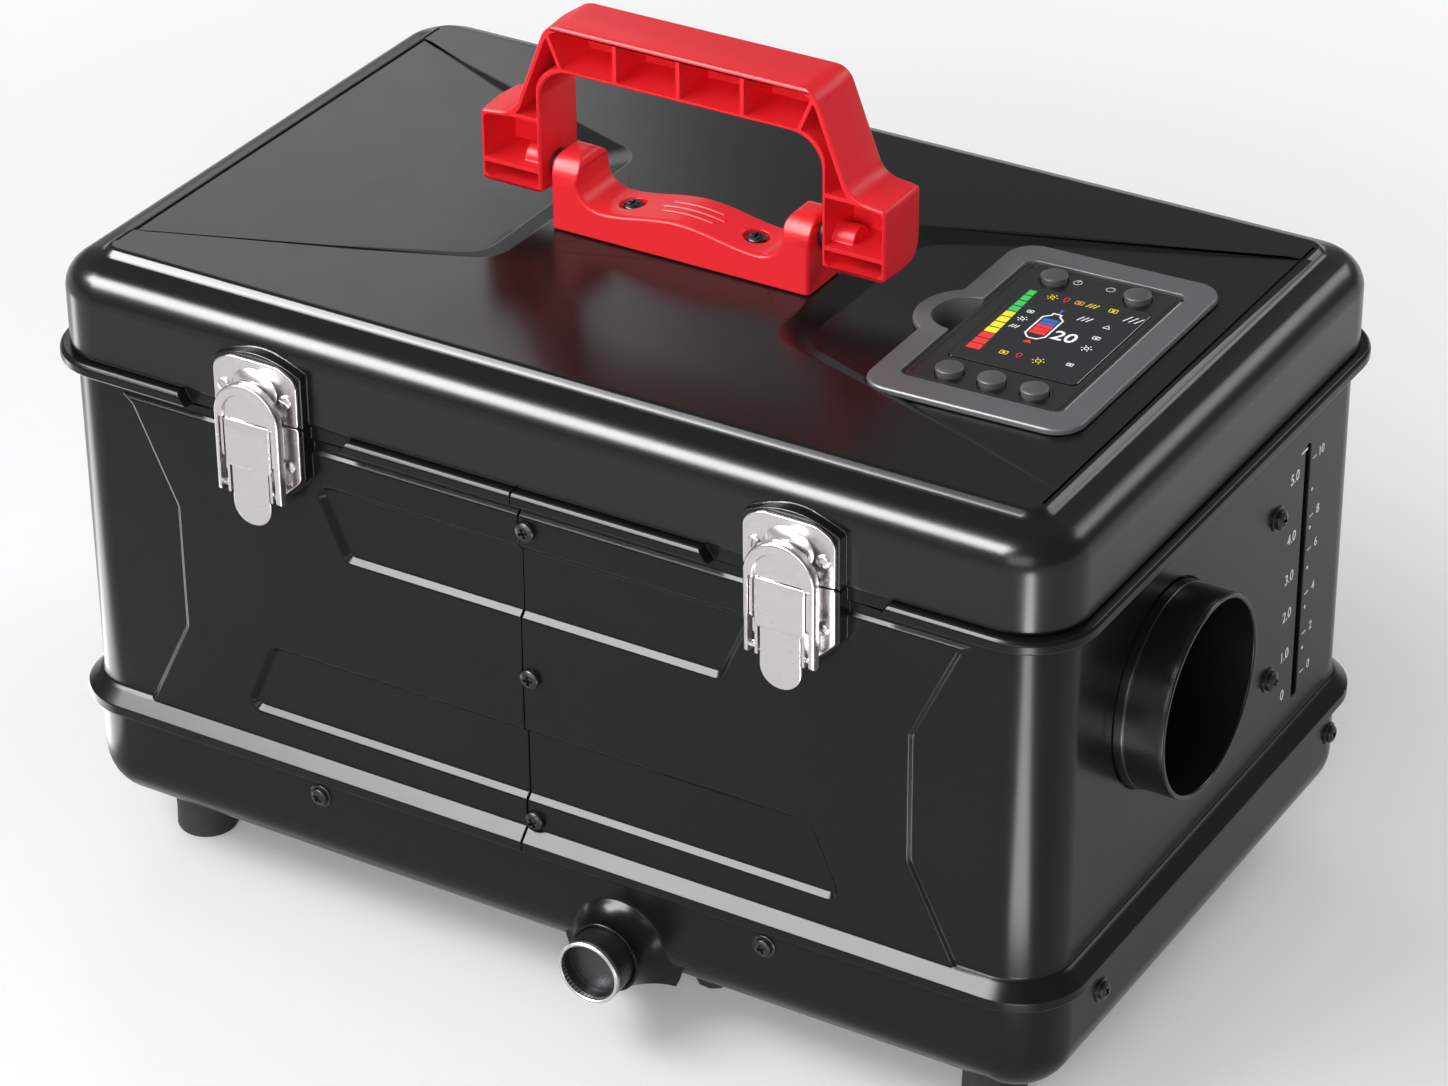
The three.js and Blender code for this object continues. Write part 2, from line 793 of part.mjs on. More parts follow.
function lid() {
  let whole = caseSweep(lidProfile(), false);
  whole = cut(whole, wedgeCut(1), wedgeCut(-1), panelOpening());
  for (const side of [-1, 1]) {
    whole = join(whole, latchPadAbove(side * latchSpacing), lidHinge(side * hingeSpacing));
    whole = cut(whole, hingeBore(side * hingeSpacing));
    whole = cut(whole, rod('z', screwShankRadius + fitGap, lidTop - 12, lidTop + 1,
      handleCentreX + side * handleScrewX, handlePivotY, 12));
  }
  return piece('lid', whole, 'blackPlastic');
}

function lidGasket() {
  const low = seamZ + fitGap;
  const high = low + gasketThickness;
  const inner = gasketInset + gasketWidth;
  const ring = [[gasketInset, low], [gasketInset, high], [inner, high], [inner, low]];
  return piece('lid_gasket', caseSweep(ring, true), 'rubber');
}

function hingePins() {
  return [-1, 1].map((side) => {
    const reach = 1.5 * knuckleLength;
    const x = side * hingeSpacing;
    const name = side < 0 ? 'hinge_pin_left' : 'hinge_pin_right';
    return piece(name, rod('x', hingePinRadius, x - reach, x + reach, hingeY, hingeZ, 16), 'steel');
  });
}

// ---- control panel, drawn in its own frame on the tilted floor of the right wedge ---------------

const panelTilt = Math.atan(wedgeDepth / (wedgeOuterX - wedgeInnerX));
const panelZ = lidTop - (wedgeOuterX - panelX) * Math.tan(panelTilt);
const trayHalfX = controllerHalfX + trayGap;
const trayHalfY = controllerHalfY + trayGap;
const trayFloor = controllerProud - controllerThick - fitGap;

function panelSolid(solid) {
  return solid.rotate([0, -THREE.MathUtils.radToDeg(panelTilt), 0]).translate([panelX, panelY, panelZ]);
}

function panelOpening() {
  const gap = trayWall + trayGap;
  const box = prism(rectangle(trayHalfX + gap, trayHalfY + gap, controllerCorner, 3), 'z', -40, 20);
  const well = rod('z', notchRadius + gap, -40, 20, notchX, notchY, 28);
  const seat = prism(rectangle(bezelHalfX + fitGap, bezelHalfY + fitGap, bezelCorner, 5), 'z', 0, 20);
  return panelSolid(join(box, well, seat));
}

function controlBezel() {
  const flangeLow = fitGap;
  const flangeTop = fitGap + bezelRise;
  const plate = prism(rectangle(bezelHalfX, bezelHalfY, bezelCorner, 6), 'z', flangeLow, flangeTop);
  const ear = rod('z', notchRadius + bezelBand, flangeLow, flangeTop, notchX, notchY, 32);
  const trayLow = trayFloor - trayWall;
  const tray = prism(rectangle(trayHalfX + trayWall, trayHalfY + trayWall, controllerCorner, 3), 'z', trayLow, flangeTop);
  const well = rod('z', notchRadius + trayWall, -notchWellDepth - trayWall, flangeTop, notchX, notchY, 28);
  const pocket = prism(rectangle(trayHalfX, trayHalfY, controllerCorner, 3), 'z', trayFloor, 20);
  const finger = rod('z', notchRadius, -notchWellDepth, 20, notchX, notchY, 28);
  const cable = rod('z', 6, trayLow - 1, trayFloor + 1, 0, controllerHalfY - 12, 16);
  return piece('control_bezel', cut(join(plate, ear, tray, well), pocket, finger, cable), 'greyPlastic');
}

const buttonPlaces = [
  ['button_front_left', -buttonPitch, -1],
  ['button_front_middle', 0, -1],
  ['button_front_right', buttonPitch, -1],
  ['button_back_left', -buttonPitch, 1],
  ['button_back_right', buttonPitch, 1],
];

function buttonY(row) {
  return row * (controllerHalfY - buttonEdge);
}

function controllerHousing() {
  const top = controllerProud;
  const low = top - controllerThick + controllerShell + fitGap;
  const outline = rectangle(controllerHalfX, controllerHalfY, controllerCorner, 3);
  const shell = bevelPrism(outline, 'z', low - 1, top, 0.8, 0.8).intersect(
    prism(rectangle(controllerHalfX + 1, controllerHalfY + 1), 'z', low, top + 1));
  const hollow = prism(rectangle(controllerHalfX - controllerShell, controllerHalfY - controllerShell, 2, 2),
    'z', low - 1, top - 2);
  const boardTop = top - boardDrop;
  const posts = [[-1, 0], [1, 0]].map(([side]) => (
    rod('z', 2.2, boardTop + fitGap, top - 1.5, side * (controllerHalfX - 5), 0, 10)
  ));
  const lensSeat = prism(rectangle(lensHalfX + fitGap, lensHalfY + fitGap, 2, 2, lensX, lensY),
    'z', top - lensThick, top + 1);
  const bores = buttonPlaces.map(([, x, row]) => (
    rod('z', buttonRadius + fitGap, top - 3, top + 1, x, buttonY(row), 16)
  ));
  const whole = cut(join(cut(shell, hollow), ...posts), lensSeat, ...bores);
  return piece('controller_housing', whole, 'darkGloss');
}

function controllerBack() {
  const low = controllerProud - controllerThick;
  const outline = rectangle(controllerHalfX, controllerHalfY, controllerCorner, 3);
  const plate = prism(outline, 'z', low, low + controllerShell);
  const boardLow = controllerProud - boardDrop - boardThick;
  const posts = [-1, 1].flatMap((side) => [-1, 1].map((end) => (
    rod('z', 2.2, low + 1, boardLow - fitGap, side * (controllerHalfX - 6), end * (controllerHalfY - 24), 10)
  )));
  return piece('controller_back', join(plate, ...posts), 'darkGloss');
}

function controllerBoard() {
  const gap = controllerShell + fitGap;
  const low = controllerProud - boardDrop - boardThick;
  const outline = rectangle(controllerHalfX - gap, controllerHalfY - gap, 2, 2);
  return piece('controller_board', prism(outline, 'z', low, low + boardThick), 'board');
}

function displayLens() {
  const low = controllerProud - lensThick + fitGap;
  const outline = rectangle(lensHalfX, lensHalfY, 2, 2, lensX, lensY);
  return piece('display_lens', prism(outline, 'z', low, low + lensThick), 'screen');
}

function button([name, x, row]) {
  const top = controllerProud;
  const boardTop = top - boardDrop;
  const underside = top - 2 - fitGap;
  const crown = top + buttonRise;
  const profile = [[0, boardTop + buttonTravel + fitGap], [1.6, boardTop + buttonTravel + fitGap],
    [1.6, underside - 1], [buttonRadius + 1.1, underside - 1], [buttonRadius + 1.1, underside],
    [buttonRadius, underside], [buttonRadius, crown - 1.5], [buttonRadius * 0.7, crown - 0.4], [0, crown]];
  return piece(name, turned(profile, 'z', x, buttonY(row), 14), 'buttonGrey');
}

function controlPanel() {
  const panel = new THREE.Group();
  panel.position.set(panelX, panelY, panelZ);
  panel.rotation.y = -panelTilt;
  panel.add(controlBezel(), controllerHousing(), controllerBack(), controllerBoard(), displayLens());
  buttonPlaces.forEach((place) => panel.add(button(place)));
  return panel;
}

// ---- carrying handle ----------------------------------------------------------------------------

function saddleLine() {
  const low = lidTop + fitGap;
  const inner = handleBaseHalf - lugWidth;
  const flat = inner - saddleFillet;
  const points = [];
  for (let i = 0; i <= 10; i += 1) {
    const x = flat * (1 - 2 * i / 10);
    const rise = saddleLow + (saddleHigh - saddleLow) * 0.5 * (1 + Math.cos(Math.PI * x / flat));
    points.push([x, low + rise]);
  }
  return points;
}

function handleBase() {
  const low = lidTop + fitGap;
  const top = lidTop + lugRise;
  const inner = handleBaseHalf - lugWidth;
  const fillet = [];
  for (let i = 1; i <= 4; i += 1) {
    const angle = Math.PI / 2 * i / 4;
    fillet.push([inner - saddleFillet + saddleFillet * Math.sin(angle), low + saddleLow
      + saddleFillet * (1 - Math.cos(angle))]);
  }
  const right = [...fillet, [inner, top - 4], [inner + 1.2, top - 1.2], [inner + 4, top], [handleBaseHalf - 3, top],
    [handleBaseHalf - 0.9, top - 0.9], [handleBaseHalf, top - 3], [handleBaseHalf, low]].reverse();
  const left = right.map(([x, z]) => [-x, z]).reverse();
  const outline = [...right, ...saddleLine(), ...left];
  const half = handleBaseDepth / 2;
  const side = rounded([[-half, low - 1], [half, low - 1], [half, top], [-half, top]],
    [0, 0, lugRounding, lugRounding], 5);
  let whole = prism(outline, 'y', -half, half).intersect(prism(side, 'x', -handleBaseHalf - 1, handleBaseHalf + 1));
  for (const end of [-1, 1]) {
    const x = end * handleScrewX;
    const from = end < 0 ? -handleBaseHalf - 1 : handleBaseHalf - handlePinSeat;
    const to = end < 0 ? -handleBaseHalf + handlePinSeat : handleBaseHalf + 1;
    whole = cut(whole, rod('z', screwShankRadius + fitGap, low - 1, top, x, 0, 12),
      rod('z', screwHeadRadius + 1.2, handleScrewSeat, top, x, 0, 20),
      rod('x', handlePinRadius + fitGap, from, to, 0, handlePivotZ, 16));
  }
  return piece('handle_base', whole, 'redPlastic');
}

function handleAssembly() {
  const assembly = new THREE.Group();
  assembly.position.set(handleCentreX, handlePivotY, 0);
  const fasteners = [[-1, 'left'], [1, 'right']].map(([side, word]) => (
    screw(`handle_screw_${word}`, 'z', 1, handleScrewSeat, side * handleScrewX, 0, handleScrewLength)
  ));
  assembly.add(handleBase(), carryHandle(), ...handlePins(), ...fasteners);
  return assembly;
}

// Front outline of half the handle, drawn in by inset for the pockets
function handleSide(inset) {
  const low = handlePivotZ - handleFootDrop + inset;
  const step = handlePivotZ + handleFootRise - inset;
  const top = handlePivotZ + handleRise - inset;
  const under = handlePivotZ + handleRise - gripThickness + inset;
  const outerX = handleFootOuter - inset;
  const innerX = handleFootInner + inset;
  const outer = rounded([[innerX, low], [outerX, low], [outerX, step], [handleFootInner + handleShoulderRun - inset, step + 1.5],
    [gripShoulderX + 0.6 - inset, top], [0, top], [0, under], [innerX, under]],
  [1, 2.5, 2, 9, 9, 0, 0, 12], 4);
  return outer;
}

function handleOutline() {
  const right = handleSide(0);
  const cutAt = right.findIndex(([x]) => x === 0);
  const outerRun = right.slice(0, cutAt);
  const innerRun = right.slice(cutAt + 2);
  const mirror = (run) => run.map(([x, z]) => [-x, z]).reverse();
  return [...outerRun, ...mirror(outerRun), ...mirror(innerRun), ...innerRun];
}

function handlePockets() {
  const side = handleSide(handleWall);
  const front = -handleFront - 1;
  const back = -handleFront + handlePocket;
  const half = prism(side, 'y', front, back);
  const top = handlePivotZ + handleRise;
  const under = top - gripThickness;
  const step = handlePivotZ + handleFootRise;
  const rib = handleRib / 2;
  const ribs = [
    block(-rib, rib, front, back, under, top),
    block(gripRibPitch - rib, gripRibPitch + rib, front, back, under, top),
    block(handleFootInner, handleFootOuter, front, back, step - rib, step + rib),
    block(handleFootInner, handleFootOuter, front, back, handlePivotZ - rib, handlePivotZ + rib),
    diagonalRib(front, back, under, top),
    rod('x', handleBossRadius, handleFootInner, handleFootInner + handleBossReach + 2, 0, handlePivotZ, 16),
  ];
  return cut(half, ...ribs);
}

function diagonalRib(front, back, under, top) {
  const rib = handleRib / 2;
  const low = gripShoulderX - 7;
  const high = gripShoulderX - 0.5;
  return prism([[low - rib, under], [low + rib, under], [high + rib, top - 4], [high - rib, top - 4]], 'y', front, back);
}

function carryHandle() {
  const low = handlePivotZ - handleFootDrop;
  const top = handlePivotZ + handleRise;
  const side = rounded([[-handleFront, low], [handleBack, low], [handleBack, top], [-handleFront, top]],
    [2.5, handleBack - 3, 4, 4], 5);
  let whole = prism(handleOutline(), 'y', -handleFront, handleBack);
  whole = whole.intersect(prism(side, 'x', -handleFootOuter - 1, handleFootOuter + 1));
  const pockets = handlePockets();
  whole = cut(whole, pockets, pockets.mirror([1, 0, 0]));
  for (const end of [-1, 1]) {
    const from = end < 0 ? -handleFootInner - handleBossReach : handleFootInner - 1;
    const to = end < 0 ? -handleFootInner + 1 : handleFootInner + handleBossReach;
    whole = cut(whole, rod('x', handlePinRadius + fitGap, from, to, 0, handlePivotZ, 16));
  }
  return piece('carry_handle', whole, 'redPlastic');
}

function handlePins() {
  return [-1, 1].map((end) => {
    const inner = handleBaseHalf - handlePinSeat + fitGap;
    const outer = handleFootInner + handleBossReach - fitGap;
    const collarIn = handleBaseHalf + fitGap;
    const collarOut = handleFootInner - fitGap;
    const shank = rod('x', handlePinRadius, inner, outer, 0, handlePivotZ, 16);
    const collar = rod('x', handlePinRadius * 2, collarIn, collarOut, 0, handlePivotZ, 20);
    const pin = join(shank, collar);
    const name = end < 0 ? 'handle_pin_left' : 'handle_pin_right';
    return piece(name, end < 0 ? pin.mirror([1, 0, 0]) : pin, 'blackSteel');
  });
}

// ---- toggle latches, drawn about x = 0 ----------------------------------------------------------

const plateFront = -halfDepth - fitGap - latchPlateThick;
const leverFront = leverPivotY - 2.8;
const earInner = leverHalf + earGap;
const bailInner = earInner + earThick + fitGap;
const bailPivotZ = leverPivotZ - bailPivotDrop;
const latchScrewX = 13.4;
const latchScrewRise = 11.4;
const latchScrewDrop = 15.2;

function latchScrewBore(x, z) {
  return rod('y', 1.7, plateFront - 1, -halfDepth, x, z, 10);
}

function latchCatch() {
  const outline = catchOutline(0, latchPlateHalf, seamZ + 1.6, 0);
  const plate = prism(outline, 'y', plateFront, -halfDepth - fitGap);
  const dome = new THREE.SphereGeometry(1, 20, 12);
  dome.scale(10.5, latchPlateThick + strikeReach, 9);
  dome.translate(0, -halfDepth - fitGap, seamZ + 12.6);
  const strike = toSolid(dome).intersect(block(-20, 20, -halfDepth - 10, -halfDepth - fitGap, seamZ, lidTop));
  const bores = [-1, 1].map((side) => latchScrewBore(side * latchScrewX, seamZ + latchScrewRise));
  return cut(join(plate, strike), ...bores);
}

function latchBase() {
  const half = latchPlateHalf;
  const outline = rounded([[-half, seamZ - baseShoulder], [-half + 8, seamZ - baseToe], [half - 8, seamZ - baseToe],
    [half, seamZ - baseShoulder], [half, seamZ + 1.1], [-half, seamZ + 1.1]], [3, 5, 5, 3, 0.8, 0.8], 3);
  const plate = prism(outline, 'y', plateFront, -halfDepth - fitGap);
  const earBack = plateFront + 0.4;
  const earFront = leverPivotY - 2.2;
  const earTop = leverPivotZ + 2.4;
  const earOutline = [[earBack, seamZ - 20], [earFront, seamZ - 14], [earFront, earTop], [plateFront - 0.9, earTop],
    [plateFront - 0.9, seamZ + 0.6], [earBack, seamZ + 0.6]];
  const ears = [-1, 1].map((side) => {
    const from = side < 0 ? -earInner - earThick : earInner;
    return prism(earOutline, 'x', from, from + earThick);
  });
  const pin = rod('x', latchPinRadius, -earInner - 0.2, earInner + 0.2, leverPivotY, leverPivotZ, 12);
  const bores = [-1, 1].map((side) => latchScrewBore(side * latchScrewX, seamZ - latchScrewDrop));
  return cut(join(plate, ...ears, pin), ...bores);
}

function latchLever() {
  const back = leverFront + leverSheet;
  const top = leverPivotZ + 2;
  const face = prism(rectangle(leverHalf, (leverFoot + 2) / 2, 0.8, 2, 0, top - (leverFoot + 2) / 2),
    'y', leverFront, back);
  const flangeBack = leverPivotY + 2.4;
  const flangeLow = bailPivotZ - 2.4;
  const flangeOutline = rounded([[back - 0.4, flangeLow], [flangeBack, flangeLow], [flangeBack, top], [back - 0.4, top]],
    [0, 1.5, 1.5, 0], 3);
  const flanges = [-1, 1].map((side) => {
    const from = side < 0 ? -leverHalf : leverHalf - leverSheet;
    return prism(flangeOutline, 'x', from, from + leverSheet);
  });
  const tabLow = leverPivotZ - tabDrop;
  const tabTop = leverPivotZ - leverFoot + 2;
  const tabOutline = rounded([[-tabHalf, tabLow], [tabHalf, tabLow], [tabHalf, tabTop], [-tabHalf, tabTop]],
    [tabHalf - 0.1, tabHalf - 0.1, 0, 0], 5);
  const tab = prism(tabOutline, 'y', back - 0.05, back + leverSheet);
  const step = block(-leverHalf, leverHalf, leverFront, back + leverSheet, tabTop - 2, tabTop);
  const bores = [leverPivotZ, bailPivotZ].map((z) => (
    rod('x', latchPinRadius + fitGap, -leverHalf - 1, leverHalf + 1, leverPivotY, z, 10)
  ));
  const throat = block(-leverHalf + leverSheet, leverHalf - leverSheet, leverPivotY - 1.5, flangeBack + 1,
    bailPivotZ - 3, top + 1);
  return cut(cut(join(face, ...flanges, tab, step), ...bores), throat);
}

function bailArch(outer, from, to) {
  const centre = leverPivotZ + 3.5;
  const tail = bailPivotZ - bailTailDrop;
  const points = [[outer, tail], [outer, centre]];
  for (let i = 1; i < 10; i += 1) {
    const angle = Math.PI * i / 10;
    points.push([outer * Math.cos(angle), centre + outer * Math.sin(angle)]);
  }
  points.push([-outer, centre], [-outer, tail]);
  return prism(points, 'y', from, to);
}

function latchBail() {
  const front = leverFront - 0.3;
  const band = bailHalf - bailInner;
  const back = front + bailDepth;
  const hollow = bailArch(bailHalf - band, front - 1, back + 1).intersect(
    block(-bailHalf, bailHalf, front - 2, back + 2, bailPivotZ - 20, leverPivotZ + 2.5));
  const crown = bailArch(bailHalf - bailBand - 1, front + leverSheet + 0.3, back + 1);
  const ring = cut(bailArch(bailHalf, front, back), hollow, crown,
    block(-bailInner, bailInner, front - 1, back + 1, bailPivotZ - 20, leverPivotZ + 2.4));
  const stubs = [-1, 1].map((side) => {
    const inner = leverHalf - leverSheet + 0.1;
    const from = side < 0 ? -bailInner - 0.5 : inner;
    const to = side < 0 ? -inner : bailInner + 0.5;
    return rod('x', latchPinRadius, from, to, leverPivotY, bailPivotZ, 12);
  });
  return join(ring, ...stubs);
}

function latches() {
  return [[-1, 'left'], [1, 'right']].map(([side, word]) => {
    const latch = new THREE.Group();
    latch.position.set(side * latchSpacing, 0, 0);
    latch.add(
      piece(`latch_catch_${word}`, latchCatch(), 'nickel'),
      piece(`latch_base_${word}`, latchBase(), 'nickel'),
      piece(`latch_lever_${word}`, latchLever(), 'nickel'),
      piece(`latch_bail_${word}`, latchBail(), 'nickel'),
    );
    return latch;
  });
}

// ---- bottom pan, feet, exhaust ------------------------------------------------------------------

function panProfile() {
  const inner = panInset + plasticWall;
  const arc = (radius, inset, low, degrees) => degrees.map((value) => {
    const angle = THREE.MathUtils.degToRad(value);
    return [inset + radius * (1 - Math.sin(angle)), low + radius * (1 - Math.cos(angle))];
  });
  const top = bodyLow - fitGap;
  return [
    ...arc(panRounding, panInset, panLow, [0, 22.5, 45, 67.5, 90]),
    [panInset, top],
    [inner, top],
    ...arc(panRounding - plasticWall, inner, panLow + plasticWall, [90, 60, 30, 0]),
  ];
}

// The wall swells out around the exhaust tip and goes on inside as a short sleeve
function exhaustFlare() {
  const mouth = exhaustMouthY + flareReach + 5;
  const sleeve = exhaustRadius + fitGap + flareWall;
  const profile = [[0, -mouth], [sleeve, -mouth]];
  const run = -mouth - panWallY + plasticWall - 0.5;
  for (let i = 1; i <= 5; i += 1) {
    const angle = Math.PI / 2 * i / 5;
    profile.push([sleeve + (flareRadius - sleeve) * (1 - Math.cos(angle)), -mouth - run * Math.sin(angle)]);
  }
  profile.push([0, -mouth - run]);
  const cone = turned(profile, 'y', exhaustX, exhaustZ, 28);
  const collar = rod('y', sleeve, mouth, -chassisHalfY - 1, exhaustX, exhaustZ, 28);
  const above = block(exhaustX - 40, exhaustX + 40, mouth - 1, 0, panLow, bodyLow);
  return join(cone, collar).intersect(above);
}

function bottomPan() {
  const shell = join(caseSweep(panProfile(), false), exhaustFlare());
  const intakeHole = rod('z', intakeRadius + 2 * fitGap, panLow - 1, panLow + 8, intakeX, intakeY, 14);
  return piece('bottom_pan', cut(shell, exhaustSweep(exhaustRadius + fitGap, 0), intakeHole), 'satinBlack');
}

function feet() {
  return [[-1, -1, 'front_left'], [1, -1, 'front_right'], [-1, 1, 'back_left'], [1, 1, 'back_right']].map(
    ([signX, signY, place]) => {
      const profile = [[0, 0], [footRadius - 1, 0], [footRadius, 1], [footRadius, panLow - fitGap], [0, panLow - fitGap]];
      return piece(`foot_${place}`, turned(profile, 'z', signX * footX, signY * footY, 20), 'rubber');
    });
}

function routePipe(points, radius, wall, sides, steps) {
  const path = new THREE.CatmullRomCurve3(points.map((p) => new THREE.Vector3(...p)), false, 'centripetal');
  const shape = new THREE.Shape(circle(radius, sides).map(([u, v]) => new THREE.Vector2(u, v)));
  if (wall > 0) {
    const bore = circle(radius - wall, sides).reverse();
    shape.holes.push(new THREE.Path(bore.map(([u, v]) => new THREE.Vector2(u, v))));
  }
  return toSolid(new THREE.ExtrudeGeometry(shape, { steps, extrudePath: path, bevelEnabled: false }));
}

function exhaustSweep(radius, wall) {
  const top = heaterZ - coreRadius - fitGap;
  const innerZ = panLow + plasticWall + exhaustRadius + exhaustLift;
  const bendY = -chassisHalfY + 4;
  const route = [
    [exhaustX, outletY, top],
    [exhaustX, outletY, innerZ + exhaustBend + 8],
    [exhaustX, outletY - 4, innerZ + exhaustBend * 0.5],
    [exhaustX, outletY - exhaustBend * 0.7, innerZ + 2],
    [exhaustX, outletY - exhaustBend - 12, innerZ],
    [exhaustX, bendY, exhaustZ + 1],
    [exhaustX, bendY - 12, exhaustZ],
    [exhaustX, exhaustMouthY, exhaustZ],
  ];
  return routePipe(route, radius, wall, 14, 14);
}

function exhaustPipe() {
  return piece('exhaust_pipe', join(exhaustSweep(exhaustRadius, exhaustWall), exhaustScreen()), 'darkMetal');
}

function exhaustScreen() {
  const back = exhaustMouthY + screenDepth;
  const radius = exhaustRadius - exhaustWall / 2;
  const disc = rod('y', radius, back, back + screenThick, exhaustX, exhaustZ, 24);
  const holes = [rod('y', screenHole, back - 1, back + 3, exhaustX, exhaustZ, 8)];
  for (let i = 0; i < 6; i += 1) {
    const angle = Math.PI * i / 3;
    const x = exhaustX + screenPitch * Math.cos(angle);
    const z = exhaustZ + screenPitch * Math.sin(angle);
    holes.push(rod('y', screenHole, back - 1, back + 3, x, z, 8));
  }
  return cut(disc, ...holes);
}

function intakeSweep(radius, wall) {
  const crossing = chassisTop - chassisSheet - intakeRadius - 2;
  const route = [
    [blowerX, outletY, heaterZ - blowerRadius - 2 * fitGap],
    [blowerX, outletY, crossing + 16],
    [blowerX + 4, outletY - 2, crossing + 4],
    [blowerX + 18, outletY - 6, crossing],
    [intakeX - 24, intakeY + 10, crossing],
    [intakeX - 6, intakeY + 2, crossing - 3],
    [intakeX, intakeY, crossing - 16],
    [intakeX, intakeY, panLow - intakeDrop],
  ];
  return routePipe(route, radius, wall, 10, 14);
}

function intakePipe() {
  return piece('intake_pipe', intakeSweep(intakeRadius, intakeWall), 'rubber');
}

// ---- hot air path -------------------------------------------------------------------------------

function hotAirOutlet() {
  const innerEnd = casingRight - 6;
  const tubeBody = rod('x', outletRadius, innerEnd, outletMouthX, outletY, heaterZ, outletSides);
  const flangeX = wallX - plasticWall - fitGap;
  const flange = rod('x', outletRadius + outletFlange, flangeX - 3, flangeX, outletY, heaterZ, outletSides);
  const bore = rod('x', outletRadius - outletWall, innerEnd - 1, outletMouthX + 1, outletY, heaterZ, outletSides);
  return piece('hot_air_outlet', cut(join(tubeBody, flange), bore), 'blackPlastic');
}

function airInletGrille() {
  const face = -wallX - fitGap;
  const ring = rod('x', grilleRadius + 3.5, face - 2.4, face, outletY, heaterZ, 26);
  const collar = rod('x', grilleRadius - fitGap, face - 1, -wallX + plasticWall, outletY, heaterZ, 28);
  const bore = rod('x', grilleRadius - 3, face - 4, -wallX + 8, outletY, heaterZ, 28);
  const pitch = 2 * grilleRadius / (grilleBars + 1);
  const bars = [];
  for (let i = 1; i <= grilleBars; i += 1) {
    const offset = -grilleRadius + i * pitch;
    const reach = Math.sqrt((grilleRadius - 2) ** 2 - offset ** 2);
    const z = heaterZ + offset;
    bars.push(block(face - 2, -wallX + plasticWall - 0.4, outletY - reach, outletY + reach,
      z - grilleBarThick / 2, z + grilleBarThick / 2));
  }
  const post = block(face - 1.8, -wallX + plasticWall - 0.6, outletY - 1.2, outletY + 1.2,
    heaterZ - grilleRadius + 2, heaterZ + grilleRadius - 2);
  return piece('air_inlet_grille', join(cut(join(ring, collar), bore), ...bars, post), 'blackPlastic');
}

function heaterCasing() {
  const outline = rectangle(casingHalfY, casingHalfZ, casingCorner, 4, outletY, heaterZ);
  const inner = rectangle(casingHalfY - casingSheet, casingHalfZ - casingSheet, casingCorner - casingSheet, 4,
    outletY, heaterZ);
  const shell = cut(prism(outline, 'x', casingLeft, casingRight), prism(inner, 'x', casingLeft - 1, casingRight - casingSheet));
  const outletHole = rod('x', outletRadius + fitGap, casingRight - 5, casingRight + 1, outletY, heaterZ, outletSides);
  const low = heaterZ - casingHalfZ;
  const exhaustHole = rod('z', exhaustRadius + 2, low - 1, low + 6, exhaustX, outletY, 24);
  const intakeHole = rod('z', intakeRadius + 1.5, low - 1, low + 6, blowerX, outletY, 20);
  const fuelHole = rod('z', fuelLineRadius + 1.5, low - 1, low + 6, feedX, feedY, 12);
  return piece('heater_casing', cut(shell, outletHole, exhaustHole, intakeHole, fuelHole), 'steel');
}

const plugX = coreLeft + plugSetback;
const blowerRight = coreLeft - fitGap;
const blowerX = blowerRight - blowerLength / 2;
const motorRight = blowerRight - blowerLength - fitGap;
const fanRight = motorRight - motorLength - 5;

function heatExchanger() {
  const right = coreLeft + coreLength;
  const core = rod('x', coreRadius, coreLeft, right, outletY, heaterZ, 32);
  const longReach = Math.min(casingHalfY, casingHalfZ) - casingSheet - fitGap;
  const fins = [];
  for (let i = 0; i < finCount; i += 1) {
    const reach = i % 3 === 0 ? longReach : coreRadius + finReach;
    const fin = block(coreLeft + 6, right - 6, -finThick / 2, finThick / 2, coreRadius - 2, reach);
    const turnedFin = fin.rotate([360 * i / finCount, 0, 0]);
    fins.push(placed(turnedFin, 0, outletY, heaterZ));
  }
  const bore = rod('x', coreBore, coreLeft - 1, right - 5, outletY, heaterZ, 32);
  const port = rod('z', exhaustRadius - exhaustWall, heaterZ - coreRadius - 4, heaterZ - coreBore + 4, exhaustX,
    outletY, 20);
  const seat = rod('z', exhaustRadius + fitGap, 0, heaterZ - coreRadius + 0.2, exhaustX, outletY, 24);
  const plug = rod('z', plugRadius + fitGap, heaterZ, heaterZ + casingHalfZ, plugX, outletY, 14);
  const plugSeat = rod('z', plugHead + 1, heaterZ + coreRadius, heaterZ + casingHalfZ, plugX, outletY, 14);
  return piece('heat_exchanger', cut(join(core, ...fins), bore, port, seat, plug, plugSeat), 'aluminium');
}

function burnerTube() {
  const left = coreLeft + fitGap;
  const flange = rod('x', coreBore - fitGap, left, left + 2, outletY, heaterZ, 24);
  const sleeve = rod('x', burnerRadius, left, left + burnerLength, outletY, heaterZ, 20);
  const bore = rod('x', burnerRadius - 1.5, left + 4, left + burnerLength + 1, outletY, heaterZ, 20);
  const feed = rod('x', burnerPortRadius, left - 1, left + 5, outletY, heaterZ, 16);
  const plug = rod('z', plugRadius + fitGap, heaterZ, heaterZ + casingHalfZ, plugX, outletY, 14);
  return piece('burner_tube', cut(join(flange, sleeve), bore, feed, plug), 'steel');
}

function glowPlug() {
  const low = heaterZ + burnerRadius - 6;
  const seat = heaterZ + coreRadius + fitGap;
  const profile = [[0, low], [plugRadius * 0.6, low], [plugRadius * 0.6, low + 8], [plugRadius, low + 8],
    [plugRadius, seat], [plugHead, seat], [plugHead, seat + 5], [2, seat + 5], [2, seat + 9], [0, seat + 9]];
  return piece('glow_plug', turned(profile, 'z', plugX, outletY, 14), 'steel');
}

